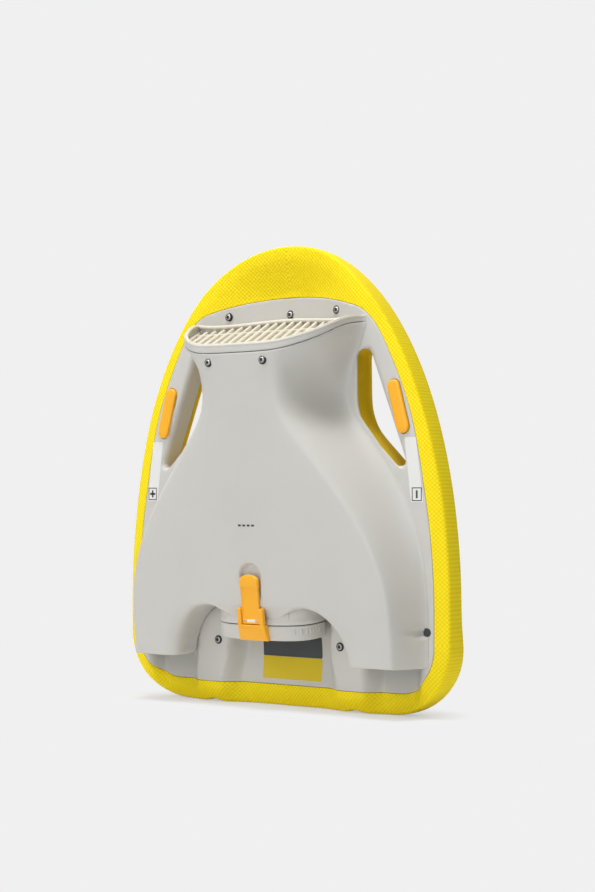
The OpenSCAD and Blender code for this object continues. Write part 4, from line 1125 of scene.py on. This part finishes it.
depth = np.linspace(0, RIB_REACH, 441)
line_x = rib_x[:, None] - RIB_LEAN * (depth - bar_w)
within = (depth > grille_front(line_x) + FRONT_GAP) & (depth < grille_rear(line_x) + REAR_LAP)
low_w = np.where(within, depth, OUTSIDE).min(1)
high_w = np.where(within, depth, -OUTSIDE).max(1)
front = np.minimum(high_w, bar_w) - low_w > FRONT_LEAST
rear = high_w - np.maximum(low_w, bar_w) > REAR_LEAST
right_x, right_w = inner[BAND_COLS // 2:, 0], front_w[BAND_COLS // 2:]
bar_end = np.array([[abs(np.interp(bar_w, right_w, right_x)), bar_w]])
ribs = [bars(rib_points(low_w)[front], rib_points(np.minimum(high_w, bar_w))[front], FRONT_HALF, RIB_DEEP),
        bars(rib_points(np.maximum(low_w, bar_w))[rear], rib_points(high_w)[rear], REAR_HALF, RIB_DEEP),
        bars(bar_end * [-1, 1], bar_end, BAR_HALF, RIB_DEEP)]
print(front.sum(), "ribs in front of the bar and", rear.sum(), "behind it")

# %% Rim of the grille and a sheet of painted shade behind it
REAR_R, REAR_LIFT, REAR_RISE = (2.2, 2.4), 0.4, 5.0
RIM_R, RIM_IN = 2.3, 1.9
SHADE_SHEET_SHARE, SHADE_SHEET_IN, SHADE_SHEET_DROP = 0.86, 3.0, 0.5

tip = np.interp(0.0, right_w - grille_rear(right_x), right_x)
x = np.linspace(-tip, tip, 121)[:, None]
c, s = circle(1.0, 14).T
rear_rows = grille_place(x + 0 * c, grille_rear(x) + REAR_R[0] * c,
                         REAR_LIFT + REAR_RISE * (x / tip) ** 4 + REAR_R[1] * s)
c, s = circle(RIM_R, 12).T[..., None]
rim_rows = np.moveaxis(along_band(c - RIM_IN, s + band_h - RIM_IN), 0, 1)
rims = [patch(rows[::-1], wrap=True) for rows in (rear_rows, rim_rows)]
make_piece("grille", ribs + rims, CREAM, "main", ["intake_grille"], crease=45)
# A dark sheet below the ribs is painted shade inside the intake.
share = np.linspace(0, 1, 8)[:, None]
x = np.linspace(-SHADE_SHEET_SHARE, SHADE_SHEET_SHARE, 81) * tip + 0 * share
w = grille_front(x) + SHADE_SHEET_IN
w = w + (grille_rear(x) - w) * share
shade_sheet = grille_place(x, w, 0 * w - RIB_DEEP - SHADE_SHEET_DROP)
make_piece("intake_shade_sheet", [patch(shade_sheet)], SHADE, "main")

# %% [markdown]
# ## The battery bay
# A lid closes the bay under the latch. A bevelled box would come close, but lid and collar share one rounded
# plan, so both are mouldings: rings of the plan, drawn in at the edges. They lie along the crest of the
# housing, which leans a few degrees.

# %% Place of the bay
POD_Z = 87.0
POD_Y, POD_TILT = LIP + CREST_SLOPE * (CREST - POD_Z), np.arctan(CREST_SLOPE)
LID_HALF, LID_MID, LID_FRONT, LID_BACK, LID_POWER = 60.0, 38.0, 35.0, 16.0, 2 / 3


def bay_place(x, high, deep):
    """Point of the bay: across, up along the crest and into the housing."""
    c, s = np.cos(POD_TILT), np.sin(POD_TILT)
    return np.stack([x, POD_Y + deep * c - high * s, POD_Z + deep * s + high * c], -1)


def lid_loop(count):
    """Plan of the lid: a rounded box from powers of cosine and sine, deeper in front than behind."""
    way = circle(1.0, count)
    c, s = (np.sign(way) * np.abs(way) ** LID_POWER).T
    return resample(np.stack([LID_HALF * c, LID_MID + np.where(s < 0, LID_FRONT, LID_BACK) * s], 1), count)


LID = lid_loop(160)
print("lid plan from", LID.min(0).round(1), "to", LID.max(0).round(1), "mm")

# %% Lid and collar
LID_PROFILE = [(2.2, -16.3), (1.2, -16.0), (0.5, -15.4), (0.1, -14.5), (0.0, -13.5), (0.0, -1.7),
               (0.15, -1.3), (0.5, -1.1), (2.8, -1.1), (2.9, -1.4), (2.9, -13.0)]
COLLAR_PROFILE = [(2.6, 0.35), (0.5, 0.35), (0.15, 0.5), (0.0, 0.9), (0.0, 2.6), (0.3, 4.2), (0.9, 6.0),
                  (1.3, 9.0), (1.6, 24.0)]
LUMP_HALF, LUMP_UP, LUMP_TALL, LUMP_SINK, LUMP_MID = 1.1, 3.0, 1.1, 0.15, -6.6
LUMP_FIRST, LUMP_LAST, LUMP_COUNT = 9.0, 31.0, 7

lump_x, lump_z = np.meshgrid(np.linspace(-1, 1, 7), np.linspace(-1, 1, 9))
lump = LUMP_TALL * np.maximum(0, 1 - lump_x ** 4) * np.maximum(0, 1 - lump_z ** 6) - LUMP_SINK
lid_out = loop_normals(LID)
lid_patches = [moulding(LID, LID_PROFILE, bay_place)]
for deep in np.linspace(LUMP_FIRST, LUMP_LAST, LUMP_COUNT):
    spot = np.argmin(np.abs(LID[:, 1] - deep) + OUTSIDE * (LID[:, 0] < 0))
    along = np.array([-lid_out[spot, 1], lid_out[spot, 0]])
    plan = LID[spot] + along * (LUMP_HALF * lump_x[..., None]) + lid_out[spot] * lump[..., None]
    lid_patches.append(patch(bay_place(plan[..., 0], LUMP_MID + LUMP_UP * lump_z, plan[..., 1])))
make_piece("bay_lid", lid_patches, GREY, "battery_lid", ["battery_lid"], crease=40)
flat, faces, skin = moulding(LID, COLLAR_PROFILE, bay_place)
make_piece("bay_collar", [(flat, faces[:-2], skin)], GREY, "main", crease=40)

# %% [markdown]
# ## The latch
# An orange lever snaps the lid shut. It turns between the arms of a frame on the lid. Both could be boxes
# with bevels; as mouldings from a plan loop they also get the lever's sunk face inside its raised border,
# and the round top for a fingertip.

# %% Latch lever
LATCH_SUNK = 2.6
TIP_HALF, TIP_Z, TIP_H = 11.7, 45.5, 6.3
LEVER_FOOT = [(-10.9, 1.5), (10.9, 1.5), (11.0, 36.0), (11.7, 39.5)]
LEVER_LEFT = [(-11.7, 39.5), (-11.0, 36.0)]
LEVER_PROFILE = [(0.0, 2.9), (0.0, 4.8), *rounded(0.0, 5.5, 0.7),
                 (1.6, 5.5), (1.85, 5.4), (2.0, 5.1), (2.4, 5.0)]
TAB_FOOT, TAB_NARROW = [(-11.3, 38.6), (11.3, 38.6)], [0.985, 1.0]
TAB_PROFILE = [(0.3, 5.0), (0.3, 5.6), *rounded(0.3, 6.3, 0.7)]
WINDOW = [(-5, 3.0), (5, 3.0), (5, 6.2), (-5, 6.2)]
WINDOW_PROFILE = [(0.0, 4.8), (0.0, 5.3), (0.3, 5.4)]
LEVER_SOFT, TAB_SOFT, WINDOW_SOFT = 0.7, 0.6, 0.4


def latch_place(x, high, up):
    """Point of the latch: across, out from the crest and up along it; the latch is sunk a little."""
    return bay_place(x, up, LATCH_SUNK - high)


turn = np.linspace(0, np.pi, 40)
tip_arc = np.stack([TIP_HALF * np.cos(turn), TIP_Z + TIP_H * np.sin(turn)], 1)
lever_loop = soft_loop(np.concatenate([LEVER_FOOT, tip_arc, LEVER_LEFT]), 200, LEVER_SOFT)
tab_loop = soft_loop(np.concatenate([TAB_FOOT, tip_arc * TAB_NARROW]), 160, TAB_SOFT)
lever = [moulding(lever_loop, LEVER_PROFILE, latch_place), moulding(tab_loop, TAB_PROFILE, latch_place)]
make_piece("lever", lever, ORANGE, "latch_lever", ["latch_lever"], crease=40)
window = moulding(soft_loop(WINDOW, 60, WINDOW_SOFT), WINDOW_PROFILE, latch_place)
make_piece("lever_window", [window], WHITE, "latch_lever")

# %% Latch frame and axle
AXLE_R, AXLE_AT, AXLE_HALF = 1.1, [-1.6, 4.4], 14.5
ARMS = [(-16.2, -1.0), (16.2, -1.0), (16.0, 17.7), (11.5, 17.7),
        (11.5, 0.7), (-11.5, 0.7), (-11.5, 17.7), (-16.0, 17.7)]
ARM_PROFILE = [(0.0, 2.9), (0.0, 6.3), *rounded(0.0, 7.0, 0.7)]
BLOCK = [(-18.0, -16.0), (18.0, -16.0), (16.4, 0.2), (-16.4, 0.2)]
BLOCK_PROFILE = [(0.0, -1.2), (0.0, 6.2), *rounded(0.0, 7.0, 0.8)]
BLOCK_LEAN, ARM_SOFT, BLOCK_SOFT = 0.26, 0.6, 0.8


def axle_place(deep, across, up):
    """Point of the axle, whose plan lies across the latch."""
    return bay_place(across, up, deep)


def block_place(x, high, up):
    """Point of the block below the arms, which leans back towards its foot."""
    return latch_place(x, high + BLOCK_LEAN * np.minimum(0, up), up)


axle = moulding(circle(AXLE_R, 24) + AXLE_AT, [(0.0, -AXLE_HALF), (0.0, AXLE_HALF)], axle_place)
make_piece("latch_axle", [axle], STEEL, "battery_lid", ["latch_pin"])
bracket = [moulding(soft_loop(ARMS, 320, ARM_SOFT), ARM_PROFILE, latch_place),
           moulding(soft_loop(BLOCK, 200, BLOCK_SOFT), BLOCK_PROFILE, block_place)]
make_piece("latch_bracket", bracket, ORANGE, "battery_lid", ["latch_frame"], crease=40)

# %% [markdown]
# ## Speed buttons
# A long orange button leans in each grip. Its dome is a pill drawn in step by step as it rises, which
# gives a soft edge without a bevel.

# %% Buttons
BUTTON_W, BUTTON_L = 14.0, 55.0
DOME = [(0.0, -0.6), (0.0, 1.2), (0.15, 1.75), (0.5, 2.2), (1.0, 2.5), (1.9, 2.75), (3.2, 2.9), (4.6, 2.97),
        (6.2, 3.0)]


def on_rail(x, high, z):
    """Point above the flat rail of the grip."""
    return np.stack([x, RAIL - high, z], -1)


button_loop = button_plan(pill(BUTTON_W, BUTTON_L, 120))
for name, loop in (("right", button_loop), ("left", mirrored(button_loop))):
    make_piece(f"{name}_speed_button", [moulding(loop, DOME, on_rail)], ORANGE, f"{name}_button",
               [f"{name}_button"])

# %% [markdown]
# ## Screws
# Button-head screws with a hexagon socket hold flange, housing and tail. A boolean could cut the socket, but
# a few rings of points, round outside and six-sided at the socket, leave cleaner faces. All screws of one
# group make one piece. Dark discs of painted shade lie in each socket, on each head's skirt and in the gap
# round it; the side screws get a dark disc of painted shade in their hole instead.

# %% Screw heads
HEAD = [(3.1, 0.0, 0), (3.1, 1.3, 0), (2.9, 1.65, 0), (2.4, 2.0, 0), (1.95, 2.05, 1), (1.85, 1.0, 1)]
HEX_GROW, HEAD_COUNT = 1.1, 36
# Sizes of the dark discs of painted shade: radius, and the heights they span.
SOCKET_SHADE, SKIRT_SHADE, GAP_SHADE = (1.75, 0.4, 1.02), (3.8, -0.5, 1.3), (4.6, -0.6, 0.05)


def screw_head(place):
    """Rings of a head that faces the front; the last two are six-sided, and a floor closes the socket."""
    turn = np.linspace(0, 2 * np.pi, HEAD_COUNT, endpoint=False)
    radius, height, six = np.array(HEAD).T[..., None]
    hexagon = HEX_GROW * np.cos(np.pi / 6) / np.cos((turn + np.pi / 6) % (np.pi / 3) - np.pi / 6)
    reach = radius * (1 + six * (hexagon - 1))
    rings = np.stack([reach * np.cos(turn), -height + 0 * turn, reach * np.sin(turn)], -1) + place
    flat, faces, skin = patch(rings, wrap=True)
    return flat, faces + [list(range(len(flat) - HEAD_COUNT, len(flat)))], skin


def painted_shade_discs(place):
    """Discs of painted shade: on the floor of a socket, on the skirt of its head and in the gap round it."""
    def before(x, high, z):
        """Point in front of this place."""
        return np.stack([x, -high, z], -1) + place
    return [moulding(circle(radius, HEAD_COUNT), [(0.0, low), (0.0, high)], before)
            for radius, low, high in (SOCKET_SHADE, SKIRT_SHADE, GAP_SHADE)]


print("socket is", round(2 * HEAD[-1][0] * HEX_GROW * np.cos(np.pi / 6), 2), "mm across its flats")

# %% Screws
FLANGE_SCREW_X, COVER_SCREW_SHARE, COVER_SCREW_Z = 69.6, 0.36, 353.0
TAIL_SCREW, SIDE_SINK = (78.0, 66.0), 2.0
# The hole round each side screw is a dark disc of painted shade.
SIDE_SHADE_R, SIDE_SHADE_IN, SIDE_SHADE_PROFILE = 4.3, [1.0, 0.0], [(0, -0.6), (0, 0.2), (0.2, 0.3)]


def on_cover(x, high, z):
    """Point above the housing."""
    return np.stack([x, cover_y(x, z) - high, z], -1)


def on_base(x, high, z):
    """Point above the base shell."""
    return np.stack([x, base_face(x, z) - high, z], -1)


def screw_row(x, z, place, sink=0.0):
    """Places of screws at one height, sunk into the face below them."""
    x = np.array(x)
    return place(x, 0 * x - sink, z + 0 * x)


cover_screw_x = COVER_SCREW_SHARE * foot_half(np.array(COVER_SCREW_Z))
GROUPS = {"flange_screws": screw_row([-FLANGE_SCREW_X, 0.0, FLANGE_SCREW_X], FLANGE_Z, on_base),
          "cover_screws": screw_row([-cover_screw_x, cover_screw_x], COVER_SCREW_Z, on_cover),
          "tail_screws": screw_row([-TAIL_SCREW[0], TAIL_SCREW[0]], TAIL_SCREW[1], on_base),
          "side_screws": screw_row([-SIDE_SCREW[0], SIDE_SCREW[0]], SIDE_SCREW[1], on_cover, SIDE_SINK)}
side_shade = circle(SIDE_SHADE_R, 48) + SIDE_SCREW - SIDE_SHADE_IN
for group, places in GROUPS.items():
    heads = [screw_head(place) for place in places]
    make_piece(f"{group}_heads", heads, STEEL, "main", [group], crease=40)
    # Dark discs of painted shade in each socket, on each head's skirt and round each head.
    shade_discs = [shade_disc for place in places for shade_disc in painted_shade_discs(place)]
    if group == "side_screws":
        # The side screws' holes get a dark disc of painted shade instead.
        shade_discs = [moulding(loop, SIDE_SHADE_PROFILE, on_cover) for loop in (side_shade, mirrored(side_shade))]
    make_piece(f"{group}_painted_shade", shade_discs, DARK, "main")

# %% [markdown]
# ## Labels and lamps
# Each grip carries a plain white strip with a boxed sign, plus on the left and minus on the right. The tail
# hollow carries a blank two-colour sticker, and four dark windows for the charge lamps sit in the housing.
# They could be painted by a material, but thin mouldings laid on the face below keep crisp edges close up.

# %% Labels and signs
PLATE_COUNT, PLATE_SOFT, PLATE_WALL, PLATE_SINK, LABEL_THICK = 96, 0.8, 0.6, -0.4, 0.2
STRIP = np.array([(162.8, 211.8), (176.6, 211.8), (168.4, 275.8), (155.0, 275.8)])
SIGN_LOW, SIGN_HIGH = np.array([163.7, 212.9]), np.array([175.2, 226.4])
SIGN_LINE, SIGN_THICK, SIGN_SOFT = 1.0, 0.3, 0.1
STROKE_HALF, STROKE_UP, STROKE_ACROSS = 1.1, 2.8, 2.0


def plate(corners, thick, soft, place, low=PLATE_SINK):
    """A thin plate with softened corners and a rounded edge."""
    profile = [(0, low), (0, thick * PLATE_WALL), (thick * (1 - PLATE_WALL), thick)]
    return moulding(soft_loop(corners, PLATE_COUNT, soft), profile, place)


def box_corners(x0, z0, x1, z1):
    """Corners of an upright box in plan."""
    return np.array([(x0, z0), (x1, z0), (x1, z1), (x0, z1)])


def sign_boxes(cross):
    """Boxes of a framed sign: four lines of its frame, an upright stroke, and a level one for a plus."""
    (x0, z0), (x1, z1) = SIGN_LOW, SIGN_HIGH
    x, z = (SIGN_LOW + SIGN_HIGH) / 2
    boxes = [(x0, z0, x1, z0 + SIGN_LINE), (x0, z1 - SIGN_LINE, x1, z1), (x0, z0, x0 + SIGN_LINE, z1),
             (x1 - SIGN_LINE, z0, x1, z1), (x - STROKE_HALF, z0 + STROKE_UP, x + STROKE_HALF, z1 - STROKE_UP)]
    if cross:
        boxes.append((x0 + STROKE_ACROSS, z - STROKE_HALF, x1 - STROKE_ACROSS, z + STROKE_HALF))
    return [box_corners(*box) for box in boxes]


for name, cross, turned in (("right", False, lambda loop: loop), ("left", True, mirrored)):
    label = plate(turned(STRIP), LABEL_THICK, PLATE_SOFT, on_base)
    make_piece(f"{name}_label", [label], WHITE, "main")
    sign = [plate(turned(box), SIGN_THICK, SIGN_SOFT, on_base, 0.0) for box in sign_boxes(cross)]
    make_piece(f"{name}_sign", sign, DARK, "main")

# %% Stickers and lamp windows
STICKER_TOP = [(-34.0, 50.5), (41.5, 50.5), (40.0, 72.0), (-35.8, 72.0)]
STICKER_LOW = [(-31.0, 27.5), (44.0, 27.5), (41.5, 50.3), (-34.0, 50.3)]
LAMP_X, LAMP_Z, LAMP_HALF, LAMP_THICK, LAMP_SOFT = (-8.4, -2.8, 2.8, 8.4), (187.0, 189.0), 1.8, 0.15, 0.25

top = plate(STICKER_TOP, LABEL_THICK, PLATE_SOFT, on_base)
make_piece("sticker_top", [top], CHARCOAL, "main")
low = plate(STICKER_LOW, LABEL_THICK, PLATE_SOFT, on_base)
make_piece("sticker_low", [low], LEMON, "main")
windows = [box_corners(x - LAMP_HALF, LAMP_Z[0], x + LAMP_HALF, LAMP_Z[1]) for x in LAMP_X]
lamps = [plate(window, LAMP_THICK, LAMP_SOFT, on_cover) for window in windows]
make_piece("lamp_windows", lamps, DARK, "main", ["led_lenses"])

# %% [markdown]
# ## Finishes of the CAD nodes
# Ducts, propellers, motors, springs and the inside of the battery bay keep their CAD shapes. They are plain
# and mostly out of sight, so they only get a finish by their slot.

# %% CAD finishes
SLOT_FINISH = {"foam": FOAM, "grey_plastic": GREY, "cream_plastic": CREAM, "orange_plastic": ORANGE,
               "dark_plastic": DARK, "battery_cells": CELLS, "circuit_board": BOARD, "seal_rubber": RUBBER,
               "steel": STEEL, "motor_can": CAN}
for part in frame["record"]["subparts"]:
    mesh = nodes[part["node"]].data
    mesh.materials.clear()
    mesh.materials.append(SLOT_FINISH[part["material_slot"]])

# %% [markdown]
# ## Floor, light and background
# The studio is a pale floor that runs into a pale background. Far from the board the floor glows in the
# background's own tone, so there is no horizon; near it the floor keeps the soft contact shadow. Four large
# soft lamps at a plain level are enough, because the colours are written as they should look.

# %% Floor
BACKGROUND, FLOOR_TONE = colour(240, 240, 240), colour(238, 238, 238)
FLOOR_DROP, FLOOR_SIDES = 0.3, 64
FLOOR_RINGS = np.concatenate([[10.0], np.linspace(200.0, 4000.0, 12)])
FOOT_HALF, FOOT_Y, SHADOW_REACH, SHADOW_SHARE = 0.14, 0.035, 0.08, 0.5


def flat_rays(tap):
    """1 for rays that see the background itself: from the camera, in reflections or through glass."""
    kinds = ("Is Camera Ray", "Is Glossy Ray", "Is Transmission Ray")
    seen, glossy, through = (tap.node("ShaderNodeLightPath", {}, {}, kind) for kind in kinds)
    return tap.math("MAXIMUM", tap.math("MAXIMUM", seen, glossy), through)


def floor_finish():
    """Lit floor under and beside the board's foot, which fades to half glow with distance from it."""
    material, _, place = new_finish("studio_floor", Roughness=0.9, Base_Color=FLOOR_TONE)
    tree = place.tree
    beside = place.math("MAXIMUM", place.math("ABSOLUTE", place.axis("X")) - FOOT_HALF, 0.0)
    behind = place.axis("Y") - FOOT_Y
    away = place.math("SQRT", beside * beside + behind * behind)
    share = flat_rays(place) * (away.between(0.0, SHADOW_REACH) * (1 - SHADOW_SHARE) + SHADOW_SHARE)
    glow = place.node("ShaderNodeEmission", {}, {"Color": BACKGROUND, "Strength": 1.0})
    lit = Tap(tree, tree.nodes["Principled BSDF"].outputs[0])
    mixed = place.node("ShaderNodeMixShader", {}, {0: share, 1: lit, 2: glow})
    place.put(tree.nodes["Material Output"].inputs["Surface"], mixed)
    return material


x, y = FLOOR_RINGS[:, None] * circle(1.0, FLOOR_SIDES).T[:, None]
flat, faces, _ = patch(np.stack([x, y, 0 * x - FLOOR_DROP], -1), wrap=True)
floor_mesh = bpy.data.meshes.new("floor")
floor_mesh.from_pydata((flat * MM).tolist(), [], [face[::-1] for face in faces] + [list(range(FLOOR_SIDES))])
floor_mesh.materials.append(floor_finish())
floor = new_object("floor", floor_mesh)
floor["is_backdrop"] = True
print("floor of", len(floor_mesh.polygons), "faces")

# %% Lamps and world
LAMP_AIM = Vector((0.0, 0.0, 0.25))
LAMPS = {"key": ((-1.6, -2.2, 2.4), 1.6, 25.5), "front": ((0.2, -2.8, 0.9), 1.6, 18.0),
         "top": ((0.2, -0.6, 3.0), 0.7, 62.0), "back": ((-0.4, 2.0, 2.2), 1.6, 9.0)}
SKY_LIGHT = (0.2, 0.2, 0.2, 1.0)


def softbox(name, place, size, power):
    """A square area lamp that looks at the middle of the board."""
    lamp = bpy.data.lights.new(name, "AREA")
    lamp.shape = "SQUARE"
    lamp.size = size
    lamp.energy = power
    box = new_object(name, lamp)
    box.location = place
    box.rotation_euler = (LAMP_AIM - Vector(place)).to_track_quat("-Z", "Y").to_euler()


for name, (place, size, power) in LAMPS.items():
    softbox(name, place, size, power)
world = bpy.data.worlds.new("studio")
bpy.context.scene.world = world
world.use_nodes = True
sky = Tap(world.node_tree)
sky.put(world.node_tree.nodes["Background"].inputs["Color"], flat_rays(sky).blend(SKY_LIGHT, BACKGROUND))
bpy.context.scene.view_settings.view_transform = "Standard"
print(len(LAMPS), "lamps")

# %% [markdown]
# ## Size
# The box of the dressed model is printed. The dressed model has to stay inside the CAD
# model's box.

# %% Sizes
low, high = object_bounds()
print("visual box", [round(v, 4) for v in (*low, *high)])
